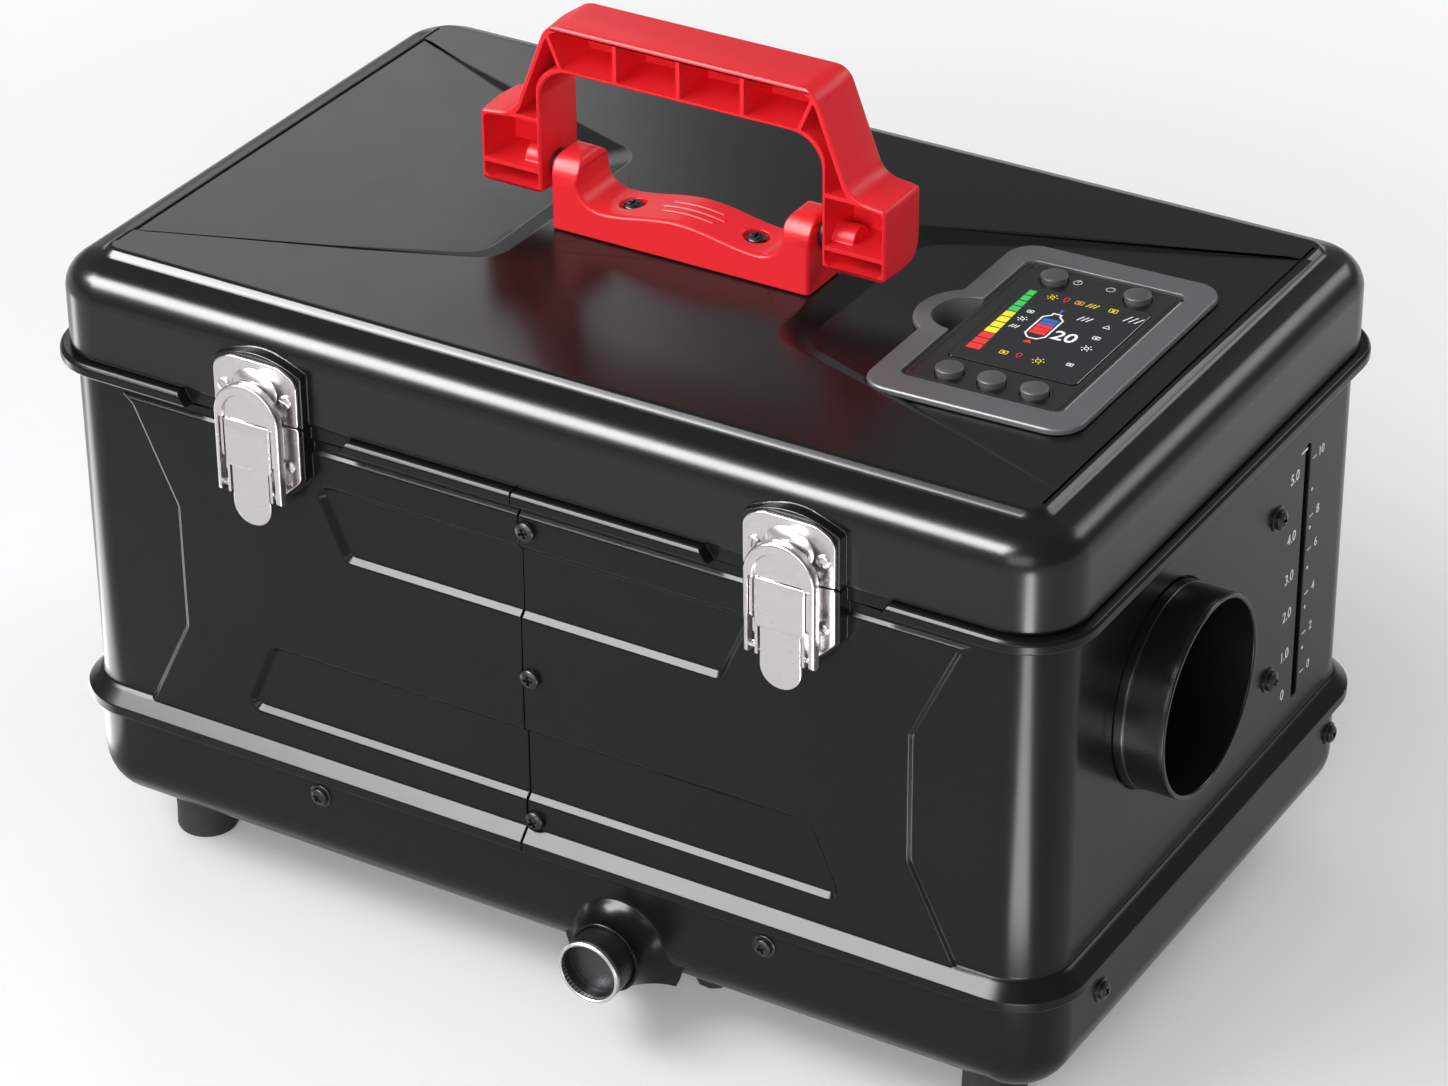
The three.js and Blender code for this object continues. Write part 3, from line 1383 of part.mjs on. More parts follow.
function blowerHousing() {
  const left = blowerRight - blowerLength;
  const drum = rod('x', blowerRadius, left, blowerRight, outletY, heaterZ, 28);
  const longReach = Math.min(casingHalfY, casingHalfZ) - casingSheet - fitGap;
  const arms = [block(left + 6, blowerRight - 6, -2, 2, -longReach, longReach),
    block(left + 6, blowerRight - 6, -longReach, longReach, -2, 2)].map((arm) => placed(arm, 0, outletY, heaterZ));
  const cavity = rod('x', impellerRadius + 2, left + 7, blowerRight - 6, outletY, heaterZ, 24);
  const nozzle = rod('x', 14, blowerRight - 10, blowerRight + 1, outletY, heaterZ, 20);
  const shaftBore = rod('x', shaftRadius + fitGap, left - 1, blowerRight, outletY, heaterZ, 14);
  const port = rod('z', intakeRadius - intakeWall, heaterZ - blowerRadius - 3, heaterZ - impellerRadius, blowerX,
    outletY, 16);
  const seat = rod('z', intakeRadius + 2 * fitGap, 0, heaterZ - blowerRadius + 0.4, blowerX, outletY, 16);
  return piece('blower_housing', cut(join(drum, ...arms), cavity, nozzle, shaftBore, port, seat), 'aluminium');
}

function combustionImpeller() {
  const right = blowerRight - 8;
  const left = right - impellerLength;
  const disc = rod('x', impellerRadius, left, left + 2, outletY, heaterZ, 24);
  const hub = rod('x', 7, left, right, outletY, heaterZ, 16);
  const vanes = [];
  for (let i = 0; i < impellerVanes; i += 1) {
    const vane = block(left + 1, right, -0.8, 0.8, 6, impellerRadius - 1);
    vanes.push(placed(vane.rotate([360 * i / impellerVanes, 0, 0]), 0, outletY, heaterZ));
  }
  const bore = rod('x', shaftRadius + 0.2, left - 1, right + 1, outletY, heaterZ, 14);
  return piece('combustion_impeller', cut(join(disc, hub, ...vanes), bore), 'blackPlastic');
}

function blowerMotor() {
  const left = motorRight - motorLength;
  const can = rod('x', motorRadius, left, motorRight, outletY, heaterZ, 28);
  const nose = rod('x', 7, left - 3, left + 1, outletY, heaterZ, 16);
  const bore = rod('x', shaftRadius + fitGap, left - 5, motorRight + 1, outletY, heaterZ, 14);
  return piece('blower_motor', cut(join(can, nose), bore), 'steel');
}

function motorShaft() {
  const right = blowerRight - 7.5;
  const left = fanRight - fanWidth - 2;
  return piece('motor_shaft', rod('x', shaftRadius, left, right, outletY, heaterZ, 12), 'steel');
}

function airFan() {
  const left = fanRight - fanWidth;
  const hub = rod('x', 13, left, fanRight, outletY, heaterZ, 20);
  const blades = [];
  for (let i = 0; i < fanBlades; i += 1) {
    const blade = block(-fanWidth * 0.62, fanWidth * 0.62, -0.9, 0.9, 11, fanRadius).rotate([0, 0, 38]);
    const trimmed = blade.intersect(rod('x', fanRadius, -fanWidth, fanWidth, 0, 0, 32));
    blades.push(placed(trimmed.rotate([360 * i / fanBlades, 0, 0]), (left + fanRight) / 2, outletY, heaterZ));
  }
  const bore = rod('x', shaftRadius + 0.2, left - 1, fanRight + 1, outletY, heaterZ, 14);
  return piece('air_fan', cut(join(hub, ...blades), bore), 'blackPlastic');
}

// ---- chassis, tank and fuel parts ---------------------------------------------------------------

// Two folded rails with a deck that the burner casing stands on
function heaterCradle() {
  const top = heaterZ - casingHalfZ - fitGap;
  const half = casingHalfY - 8;
  const deck = block(-cradleHalf, cradleHalf, outletY - half, outletY + half, top - chassisSheet, top);
  const rails = [-1, 1].map((side) => {
    const y = outletY + side * half - (side > 0 ? chassisSheet : 0);
    return block(-cradleHalf, cradleHalf, y, y + chassisSheet, chassisTop - 1, top);
  });
  return join(deck, ...rails);
}

function chassis() {
  const low = panLow + plasticWall + fitGap;
  const deck = block(-chassisHalfX, chassisHalfX, -chassisHalfY, chassisHalfY, chassisTop - chassisSheet, chassisTop);
  const flanges = [-1, 1].map((side) => {
    const from = side < 0 ? -chassisHalfY : chassisHalfY - chassisSheet;
    return block(-chassisHalfX + chassisFlangeInset, chassisHalfX - chassisFlangeInset, from, from + chassisSheet, low, chassisTop - 1);
  });
  const holes = [
    exhaustSweep(exhaustRadius + 2, 0),
    intakeSweep(intakeRadius + 2, 0),
    fuelSweep(feedRoute(), fuelLineRadius + 2),
    fuelSweep(supplyRoute(), fuelLineRadius + 2),
  ];
  return piece('chassis', cut(join(deck, ...flanges, heaterCradle()), ...holes), 'steel');
}

const tankLow = chassisTop + fitGap;
const tankRight = halfWidth - skirtInset - plasticWall - fitGap;
const tankTop = tankLow + tankTall;

function fuelTank() {
  const midX = (tankLeft + tankRight) / 2;
  const halfX = (tankRight - tankLeft) / 2;
  const halfY = (tankBack - tankFront) / 2;
  const outer = bevelPrism(rectangle(halfX, halfY, tankCorner, 4, midX, tankMidY), 'z', tankLow, tankTop, 4, 4);
  const innerHalfX = halfX - tankWall;
  const inner = prism(rectangle(innerHalfX, halfY - tankWall, tankCorner - tankWall, 4, midX, tankMidY),
    'z', tankLow + tankWall + 2, tankTop - tankWall - 2);
  const neck = rod('z', neckRadius, tankTop - 4, tankTop + neckRise, neckX, tankMidY, 24);
  const neckBore = rod('z', neckRadius - tankWall, tankTop - 12, tankTop + neckRise + 1, neckX, tankMidY, 24);
  const outletBore = rod('z', fuelLineRadius + 2 * fitGap, tankLow - 1, tankLow + 4, supplyX, tankMidY, 12);
  const shell = join(cut(outer, inner), neck);
  return piece('fuel_tank', cut(shell, neckBore, outletBore), 'tank');
}

function fuelCap() {
  const low = tankTop + 2;
  const top = low + capTall;
  const ring = tankTop + neckRise + fitGap;
  const skirt = rod('z', capRadius, low, top, neckX, tankMidY, 24);
  const hollow = rod('z', neckRadius + fitGap, low - 1, ring, neckX, tankMidY, 24);
  const plug = rod('z', neckRadius - tankWall - fitGap, ring - 5, ring + 1, neckX, tankMidY, 24);
  const grip = block(neckX - capRadius + 4, neckX + capRadius - 4, tankMidY - 3, tankMidY + 3, top - 1, top + 5);
  return piece('fuel_cap', join(cut(skirt, hollow), plug, grip), 'redPlastic');
}

const pumpZ = bodyLow - 18;

function fuelPump() {
  const left = pumpX - pumpLength / 2;
  const right = pumpX + pumpLength / 2;
  const tip = pumpNozzleRadius;
  const profile = [[0, left - pumpNozzle], [tip, left - pumpNozzle], [tip, left], [pumpRadius, left],
    [pumpRadius, right - 8], [pumpRadius - 4, right - 8], [pumpRadius - 4, right], [tip, right],
    [tip, right + pumpNozzle], [0, right + pumpNozzle]];
  return piece('fuel_pump', turned(profile, 'x', pumpY, pumpZ, 16), 'blackSteel');
}

function pumpClamp() {
  const outer = rod('x', pumpRadius + clampWall, pumpX - clampHalf, pumpX + clampHalf, pumpY, pumpZ, 24);
  const studTop = chassisTop - chassisSheet - fitGap;
  const stud = block(pumpX - clampStudHalf, pumpX + clampStudHalf, pumpY - 4, pumpY + 4, pumpZ + pumpRadius, studTop);
  const bore = rod('x', pumpRadius + fitGap, pumpX - clampHalf - 1, pumpX + clampHalf + 1, pumpY, pumpZ, 24);
  return piece('pump_clamp', cut(join(outer, stud), bore), 'rubber');
}

function supplyRoute() {
  const left = pumpX - pumpLength / 2 - pumpNozzle - fitGap;
  return [
    [supplyX, tankMidY, tankLow + 3],
    [supplyX, tankMidY, chassisTop - 9],
    [supplyX - 4, tankMidY + 8, pumpZ + 12],
    [pumpX - 20, tankMidY + 24, pumpZ],
    [left - 6, tankMidY + 16, pumpZ],
    [left - 18, pumpY + 6, pumpZ],
    [left - 8, pumpY, pumpZ],
    [left, pumpY, pumpZ],
  ];
}

function feedRoute() {
  const right = pumpX + pumpLength / 2 + pumpNozzle + fitGap;
  const side = feedY - outletY - fuelLineRadius;
  const end = heaterZ - Math.sqrt(blowerRadius ** 2 - side ** 2) - 2 * fitGap;
  return [
    [right, pumpY, pumpZ],
    [right + 8, pumpY, pumpZ],
    [feedX - 2, pumpY - 20, pumpZ],
    [feedX, feedY + 24, pumpZ],
    [feedX, feedY, pumpZ + 18],
    [feedX, feedY, end],
  ];
}

function fuelSweep(route, radius) {
  return routePipe(route, radius, 0, 6, 14);
}

function fuelLines() {
  return [
    piece('fuel_line_supply', fuelSweep(supplyRoute(), fuelLineRadius), 'blackPlastic'),
    piece('fuel_line_feed', fuelSweep(feedRoute(), fuelLineRadius), 'blackPlastic'),
  ];
}

function controlUnit() {
  const low = chassisTop + fitGap;
  const box = block(unitLeft, unitLeft + unitWide, unitFront, unitFront + unitDeep, low, low + unitTall);
  const plug = block(unitLeft + 10, unitLeft + unitWide - 10, unitFront - 8, unitFront + 1, low + 6, low + unitTall - 10);
  return piece('control_unit', join(box, plug), 'blackPlastic');
}

function powerSocket() {
  const face = -wallX - fitGap;
  const z = bodyLow + socketRise;
  const flange = rod('x', socketRadius + 4, face - 2, face, socketY, z, 18);
  const barrel = rod('x', socketRadius, face - 1, unitLeft - fitGap, socketY, z, 18);
  const well = rod('x', socketRadius - 3, face - 3, face + 10, socketY, z, 16);
  const pins = [-1, 1].map((side) => rod('x', 1.5, face + 1, face + 11, socketY + side * 4, z, 8));
  return piece('power_socket', join(cut(join(flange, barrel), well), ...pins), 'blackPlastic');
}

// ---- screws -------------------------------------------------------------------------------------

// Axis and sense give the way the head faces; seat is the level of the surface under the head
function screw(name, axis, sense, seat, u, v, length) {
  const under = seat + sense * fitGap;
  const top = under + sense * screwHeadTall;
  const tip = seat - sense * length;
  const span = (a, b) => [Math.min(a, b), Math.max(a, b)];
  const head = rod(axis, screwHeadRadius, ...span(under, top), u, v, 20);
  const shank = rod(axis, screwShankRadius, ...span(tip, top - sense), u, v, 12);
  const socket = rod(axis, screwHeadRadius * 0.45, ...span(top - sense * 1.2, top + sense), u, v, 6);
  return piece(name, cut(join(head, shank), socket), 'blackSteel');
}

function seamScrews() {
  return seamScrewRises.map((rise, i) => (
    screw(`seam_screw_${i + 1}`, 'y', -1, -fieldY, 0, bodyLow + rise, seamScrewLength)
  ));
}

// ---- the whole heater, with its origin under the middle of its bounding box ---------------------

const heater = new THREE.Group();
heater.position.set(-(outletMouthX - halfWidth) / 2, -(exhaustMouthY + hingeY + hingeBarrelRadius) / 2, 0);
heater.add(...bodyHalves(), bottomPan(), ...feet(), lid(), lidGasket(), ...hingePins());
heater.add(controlPanel(), handleAssembly(), ...latches());
heater.add(hotAirOutlet(), airInletGrille(), exhaustPipe(), intakePipe());
heater.add(heaterCasing(), heatExchanger(), burnerTube(), glowPlug(), blowerHousing());
heater.add(combustionImpeller(), blowerMotor(), motorShaft(), airFan());
heater.add(chassis(), fuelTank(), fuelCap(), fuelPump(), pumpClamp(), ...fuelLines(), controlUnit(), powerSocket());
heater.add(...seamScrews());

export default heater;
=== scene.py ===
import json
import math

import bmesh
import bpy
from mathutils import Matrix, Vector


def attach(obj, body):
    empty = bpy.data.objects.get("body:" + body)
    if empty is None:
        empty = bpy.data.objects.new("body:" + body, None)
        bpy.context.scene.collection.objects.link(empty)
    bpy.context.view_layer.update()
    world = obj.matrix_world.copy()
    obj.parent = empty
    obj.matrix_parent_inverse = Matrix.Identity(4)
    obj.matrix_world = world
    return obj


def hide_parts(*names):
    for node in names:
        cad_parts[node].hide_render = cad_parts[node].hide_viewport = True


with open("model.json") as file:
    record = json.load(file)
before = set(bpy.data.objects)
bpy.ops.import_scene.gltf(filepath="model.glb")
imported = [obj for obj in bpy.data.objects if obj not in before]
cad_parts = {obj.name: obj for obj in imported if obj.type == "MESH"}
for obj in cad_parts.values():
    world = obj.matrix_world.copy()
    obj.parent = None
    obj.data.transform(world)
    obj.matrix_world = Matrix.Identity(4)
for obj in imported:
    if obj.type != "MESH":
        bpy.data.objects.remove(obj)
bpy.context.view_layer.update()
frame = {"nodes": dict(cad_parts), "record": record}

# Portable diesel air heater in a toolbox case, drawn in millimetres about the middle of the case.
scene = bpy.context.scene
record = frame["record"]
nodeBody = {node: body for body, group in record["behaviour"]["bodies"].items() for node in group}
nodeSlot = {entry["node"]: entry["material_slot"] for entry in record["subparts"]}
toPartFrame = Matrix.Scale(0.001, 4) @ Matrix.Translation((-6.25, 4.2, 0.0))
dressedNodes = set()

caseSizes = {
    "width": 426.0, "depth": 266.6, "rimCorner": 27.0, "wall": 3.0, "sideInset": 6.5,
    "bodyLow": 65.0, "seamZ": 216.0, "seamGap": 0.5, "lidHeight": 38.5, "fitGap": 0.3,
    "cornerSteps": 14, "centreSeamX": -3.5,
}
halfWidth = caseSizes["width"] / 2
halfDepth = caseSizes["depth"] / 2
wallX = halfWidth - caseSizes["sideInset"]
wallY = halfDepth - caseSizes["sideInset"]
bodyLow = caseSizes["bodyLow"]
seamZ = caseSizes["seamZ"]
lidLow = seamZ + caseSizes["seamGap"]
lidTop = lidLow + caseSizes["lidHeight"]
fitGap = caseSizes["fitGap"]
outletPlace = (-42.0, 155.0)      # y and z of the hot air path


# Outlines are lists of (u, v): y and z along x, x and z along y, x and y along z.
def onAxis(axis, u, v, w):
    return {"x": (w, u, v), "y": (u, w, v), "z": (u, v, w)}[axis]


def roundCorners(points, radius, steps=6):
    outline = []
    for i, corner in enumerate(points):
        size = radius[i] if isinstance(radius, (list, tuple)) else radius
        here = Vector(corner)
        back = (Vector(points[i - 1]) - here).normalized()
        ahead = (Vector(points[(i + 1) % len(points)]) - here).normalized()
        half = math.acos(max(-1.0, min(1.0, back.dot(ahead)))) / 2
        if size <= 0 or half > 1.55:
            outline.append(tuple(corner))
            continue
        centre = here + (back + ahead).normalized() * size / math.sin(half)
        reach = size / math.tan(half)
        start = here + back * reach - centre
        end = here + ahead * reach - centre
        turn = math.atan2(start.x * end.y - start.y * end.x, start.dot(end))
        for k in range(steps + 1):
            a = turn * k / steps
            outline.append((centre.x + start.x * math.cos(a) - start.y * math.sin(a),
                            centre.y + start.x * math.sin(a) + start.y * math.cos(a)))
    return outline


def drawIn(outline, inset):
    area = sum(a[0] * b[1] - b[0] * a[1] for a, b in zip(outline, outline[1:] + outline[:1]))
    sign = 1 if area > 0 else -1
    result = []
    for i, point in enumerate(outline):
        before = Vector(point) - Vector(outline[i - 1])
        after = Vector(outline[(i + 1) % len(outline)]) - Vector(point)
        n1 = Vector((-before.y, before.x)).normalized() * sign
        n2 = Vector((-after.y, after.x)).normalized() * sign
        middle = n1 + n2
        middle = middle / max(middle.length_squared / 2, 0.2)
        result.append((point[0] + middle.x * inset, point[1] + middle.y * inset))
    return result


def boxOutline(halfU, halfV, radius=0.0, steps=6, u=0.0, v=0.0):
    corners = [(u - halfU, v - halfV), (u + halfU, v - halfV), (u + halfU, v + halfV), (u - halfU, v + halfV)]
    return roundCorners(corners, radius, steps) if radius > 0 else corners


def ringOutline(radius, sides, u=0.0, v=0.0):
    return [(u + radius * math.cos(2 * math.pi * i / sides), v + radius * math.sin(2 * math.pi * i / sides))
            for i in range(sides)]


def stackRings(rings, closedLoop=False):
    bm = bmesh.new()
    rows = [[bm.verts.new(p) for p in ring] for ring in rings]
    count = len(rows[0])
    pairs = list(zip(rows, rows[1:] + rows[:1])) if closedLoop else list(zip(rows, rows[1:]))
    for low, high in pairs:
        for i in range(count):
            j = (i + 1) % count
            bm.faces.new((low[i], low[j], high[j], high[i]))
    if not closedLoop:
        bm.faces.new(list(reversed(rows[0])))
        bm.faces.new(rows[-1])
    bmesh.ops.remove_doubles(bm, verts=bm.verts, dist=1e-4)
    bmesh.ops.recalc_face_normals(bm, faces=bm.faces)
    mesh = bpy.data.meshes.new("part")
    bm.to_mesh(mesh)
    bm.free()
    made = bpy.data.objects.new("part", mesh)
    scene.collection.objects.link(made)
    return made


def prism(outline, axis, low, high):
    return stackRings([[onAxis(axis, u, v, w) for u, v in outline] for w in (low, high)])


# Levels are (place along the axis, how far the outline is drawn in)
def steppedPrism(outline, axis, levels):
    return stackRings([[onAxis(axis, u, v, w) for u, v in drawIn(outline, inset)] for w, inset in levels])


def block(x0, x1, y0, y1, z0, z1):
    return prism([(x0, y0), (x1, y0), (x1, y1), (x0, y1)], "z", z0, z1)


def rod(axis, radius, low, high, u, v, sides=48):
    return prism(ringOutline(radius, sides, u, v), axis, low, high)


def lathe(profile, axis, u, v, sides=64, closedLoop=False):
    rings = []
    for radius, along in profile:
        ring = ringOutline(max(radius, 0.002), sides, u, v)
        rings.append([onAxis(axis, a, b, along) for a, b in ring])
    return stackRings(rings, closedLoop)


def caseRing(inset, z):
    radius = max(caseSizes["rimCorner"] - inset, 3.0)
    spanX, spanY = halfWidth - inset - radius, halfDepth - inset - radius
    ring = []
    for quarter, (sx, sy) in enumerate([(1, 1), (-1, 1), (-1, -1), (1, -1)]):
        for i in range(caseSizes["cornerSteps"] + 1):
            a = math.pi / 2 * (quarter + i / caseSizes["cornerSteps"])
            ring.append((sx * spanX + radius * math.cos(a), sy * spanY + radius * math.sin(a), z))
    return ring


def caseSweep(profile, closedLoop):
    return stackRings([caseRing(inset, z) for inset, z in profile], closedLoop)


def readyMesh(made):
    graph = bpy.context.evaluated_depsgraph_get()
    mesh = bpy.data.meshes.new_from_object(made.evaluated_get(graph))
    made.modifiers.clear()
    old = made.data
    made.data = mesh
    bpy.data.meshes.remove(old)
    return made


def combine(target, tools, how):
    for tool in tools:
        step = target.modifiers.new(how, "BOOLEAN")
        step.operation, step.solver, step.object = how, "MANIFOLD", tool
    readyMesh(target)
    for tool in tools:
        bpy.data.objects.remove(tool)
    return target


def join(target, *tools):
    return combine(target, tools, "UNION")


def cut(target, *tools):
    return combine(target, tools, "DIFFERENCE")


def keep(target, tool):
    return combine(target, [tool], "INTERSECT")


def copyOf(made):
    twin = made.copy()
    twin.data = made.data.copy()
    scene.collection.objects.link(twin)
    return twin


# Softens the hard edges and shades the rest smooth
def softenEdges(made, width, segments=2, angle=32, scale=1.0):
    bm = bmesh.new()
    bm.from_mesh(made.data)
    bmesh.ops.remove_doubles(bm, verts=bm.verts, dist=1e-3 * scale)
    bmesh.ops.dissolve_limit(bm, angle_limit=math.radians(0.3), verts=bm.verts, edges=bm.edges)
    bm.to_mesh(made.data)
    bm.free()
    if width > 0:
        bevel = made.modifiers.new("edges", "BEVEL")
        bevel.width, bevel.segments = width * scale, segments
        bevel.limit_method, bevel.angle_limit = "ANGLE", math.radians(angle)
        bevel.use_clamp_overlap = False
        bevel.miter_outer = "MITER_ARC"
        readyMesh(made)
    made.data.polygons.foreach_set("use_smooth", [True] * len(made.data.polygons))
    made.data.set_sharp_from_angle(angle=math.radians(38))
    weights = made.modifiers.new("weights", "WEIGHTED_NORMAL")
    weights.keep_sharp, weights.weight = True, 80
    return readyMesh(made)


def finishPiece(made, name, material, node=None, body=None, nodes=()):
    made.name = made.data.name = name
    made.data.transform(toPartFrame)
    return placePiece(made, material, node, body, nodes)


def placePiece(made, material, node=None, body=None, nodes=()):
    made.data.materials.clear()
    made.data.materials.append(material)
    stands = ([node] if node else []) + list(nodes)
    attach(made, body or nodeBody[stands[0]])
    if stands:
        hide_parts(*stands)
        dressedNodes.update(stands)
    return made


# A CAD node's own shape with welded faces, softened edges and smooth rounds
def dressNode(node, material):
    made = frame["nodes"][node].copy()
    made.data = made.data.copy()
    made.parent = None
    for key in list(made.keys()):
        del made[key]
    scene.collection.objects.link(made)
    bm = bmesh.new()
    bm.from_mesh(made.data)
    bmesh.ops.remove_doubles(bm, verts=bm.verts, dist=2e-6)
    bm.to_mesh(made.data)
    bm.free()
    softenEdges(made, 0.25, scale=0.001)
    made.name = made.data.name = node + "_dressed"
    return placePiece(made, material, node)


# Surfaces: grain and colour drift sit on Object coordinates, rubbed edges on the shape's own corners
def surface(name, color, roughness, metallic=0.0, grain=0.0, grainScale=900.0, drift=0.15, wear=0.0,
            coat=0.0, coatRoughness=0.1, stretch=(1, 1, 1), roughDrift=0.08, specular=0.5):
    material = bpy.data.materials.new(name)
    material.use_nodes = True
    tree = material.node_tree
    shader = tree.nodes["Principled BSDF"]
    shader.inputs["Metallic"].default_value = metallic
    shader.inputs["Coat Weight"].default_value = coat
    shader.inputs["Coat Roughness"].default_value = coatRoughness
    shader.inputs["Specular IOR Level"].default_value = specular
    place = tree.nodes.new("ShaderNodeTexCoord")
    mapping = tree.nodes.new("ShaderNodeMapping")
    mapping.inputs["Scale"].default_value = stretch
    tree.links.new(place.outputs["Object"], mapping.inputs["Vector"])

    def noise(scale, detail):
        node = tree.nodes.new("ShaderNodeTexNoise")
        node.inputs["Scale"].default_value = scale
        node.inputs["Detail"].default_value = detail
        tree.links.new(mapping.outputs["Vector"], node.inputs["Vector"])
        return node

    broad = noise(22.0, 3.0)
    tone = tree.nodes.new("ShaderNodeMix")
    tone.data_type = "RGBA"
    tone.inputs["A"].default_value = [c * (1 - drift) for c in color] + [1]
    tone.inputs["B"].default_value = [min(c * (1 + drift), 1) for c in color] + [1]
    tree.links.new(broad.outputs["Fac"], tone.inputs["Factor"])
    base = tone.outputs["Result"]
    if wear > 0:
        shape = tree.nodes.new("ShaderNodeNewGeometry")
        rubbed = tree.nodes.new("ShaderNodeMapRange")
        rubbed.inputs["From Min"].default_value, rubbed.inputs["From Max"].default_value = 0.53, 0.62
        rubbed.inputs["To Max"].default_value = wear
        tree.links.new(shape.outputs["Pointiness"], rubbed.inputs["Value"])
        worn = tree.nodes.new("ShaderNodeMix")
        worn.data_type = "RGBA"
        worn.inputs["B"].default_value = [min(c * 2.2 + 0.06, 1) for c in color] + [1]
        tree.links.new(rubbed.outputs["Result"], worn.inputs["Factor"])
        tree.links.new(base, worn.inputs["A"])
        base = worn.outputs["Result"]
    tree.links.new(base, shader.inputs["Base Color"])
    rough = tree.nodes.new("ShaderNodeMapRange")
    rough.inputs["To Min"].default_value = max(roughness - roughDrift, 0.02)
    rough.inputs["To Max"].default_value = roughness + roughDrift
    tree.links.new(noise(60.0, 5.0).outputs["Fac"], rough.inputs["Value"])
    tree.links.new(rough.outputs["Result"], shader.inputs["Roughness"])
    if grain > 0:
        bump = tree.nodes.new("ShaderNodeBump")
        bump.inputs["Strength"].default_value = grain
        bump.inputs["Distance"].default_value = 0.0002
        tree.links.new(noise(grainScale, 2.0).outputs["Fac"], bump.inputs["Height"])
        tree.links.new(bump.outputs["Normal"], shader.inputs["Normal"])
    return material


finishes = {
    "case_black": surface("caseBlack", (0.007, 0.0071, 0.0074), 0.24, grain=0.03, grainScale=1500,
                          specular=0.15, roughDrift=0.03),
    "lid_black": surface("lidBlack", (0.007, 0.0071, 0.0074), 0.25, grain=0.06, grainScale=1300,
                         specular=0.27, roughDrift=0.03),
    "handle_red": surface("handleRed", (0.86, 0.022, 0.032), 0.34, grain=0.04, grainScale=900, drift=0.03,
                          specular=0.15),
    "bezel_grey": surface("bezelGrey", (0.115, 0.115, 0.12), 0.42, grain=0.10, grainScale=1100, wear=0.1),
    "controller_black": surface("controllerBlack", (0.012, 0.012, 0.0125), 0.24, grain=0.02, grainScale=1600),
    "button_grey": surface("buttonGrey", (0.075, 0.075, 0.078), 0.45, grain=0.10, grainScale=1500),
    "circuit_board": surface("boardGreen", (0.02, 0.11, 0.045), 0.45, grain=0.15, grainScale=400),
    "bright_nickel": surface("brightNickel", (0.49, 0.472, 0.466), 0.27, metallic=1.0, grain=0.03,
                             grainScale=500, drift=0.03, roughDrift=0.05),
    "black_screws": surface("blackenedSteel", (0.022, 0.022, 0.024), 0.32, metallic=0.6, grain=0.08,
                            grainScale=1200, wear=0.4),
    "bare_steel": surface("sheetSteel", (0.48, 0.49, 0.50), 0.38, metallic=1.0, grain=0.08, grainScale=300,
                          stretch=(0.06, 1, 1), drift=0.08),
    "cast_alloy": surface("castAlloy", (0.56, 0.57, 0.58), 0.52, metallic=1.0, grain=0.5, grainScale=450,
                          drift=0.08),
    "exhaust_steel": surface("exhaustSteel", (0.055, 0.055, 0.057), 0.33, metallic=0.8, grain=0.10,
                             grainScale=350, drift=0.2, wear=0.5),
    "black_rubber": surface("blackRubber", (0.012, 0.012, 0.012), 0.62, grain=0.3, grainScale=800),
    "tank_white": surface("tankMilky", (0.66, 0.67, 0.64), 0.42, grain=0.15, grainScale=250, drift=0.05),
    "fan_black": surface("fanBlack", (0.02, 0.02, 0.021), 0.45, grain=0.1, grainScale=900),
    "display_glass": surface("displayGlass", (0.006, 0.006, 0.008), 0.16, drift=0.3, roughDrift=0.03,
                             coat=0.3, coatRoughness=0.06),
}


def inkMaterial(name, color, glow=0.0):
    material = surface(name, color, 0.4, drift=0.04, grain=0.02, grainScale=1500)
    shader = material.node_tree.nodes["Principled BSDF"]
    if glow > 0:
        shader.inputs["Emission Color"].default_value = (*color, 1)
        shader.inputs["Emission Strength"].default_value = glow
    return material


inks = {
    "white": inkMaterial("inkWhite", (0.82, 0.82, 0.80)),
    "litWhite": inkMaterial("litWhite", (0.80, 0.80, 0.82), 0.45),
    "red": inkMaterial("litRed", (0.86, 0.02, 0.02), 0.35),
    "yellow": inkMaterial("litYellow", (0.90, 0.74, 0.02), 0.35),
    "amber": inkMaterial("litAmber", (0.85, 0.36, 0.03), 0.35),
    "green": inkMaterial("litGreen", (0.03, 0.58, 0.08), 0.35),
    "blue": inkMaterial("litBlue", (0.03, 0.11, 0.48), 0.35),
}
print("surfaces ready:", len(finishes) + len(inks))

# Camera and studio
cameraSizes = {"place": (798.438, -1330.550, 1056.949), "azimuth": 30.97064, "elevation": 30.78733,
               "roll": -0.47119, "lens": 119.578}


def makeCamera():
    a, e, r = (math.radians(cameraSizes[key]) for key in ("azimuth", "elevation", "roll"))
    forward = Vector((-math.sin(a) * math.cos(e), math.cos(a) * math.cos(e), -math.sin(e)))
    level = Vector((math.cos(a), math.sin(a), 0))
    upright = level.cross(forward)
    right = level * math.cos(r) + upright * math.sin(r)
    upright = upright * math.cos(r) - level * math.sin(r)
    turn = Matrix((right, upright, -forward)).transposed().to_4x4()
    data = bpy.data.cameras.new("studioCamera")
    data.lens, data.sensor_width = cameraSizes["lens"], 36.0
    data.clip_start, data.clip_end = 0.05, 60.0
    seen = bpy.data.objects.new("studioCamera", data)
    seen.matrix_world = Matrix.Translation(Vector(cameraSizes["place"]) / 1000) @ turn
    scene.collection.objects.link(seen)
    scene.camera = seen


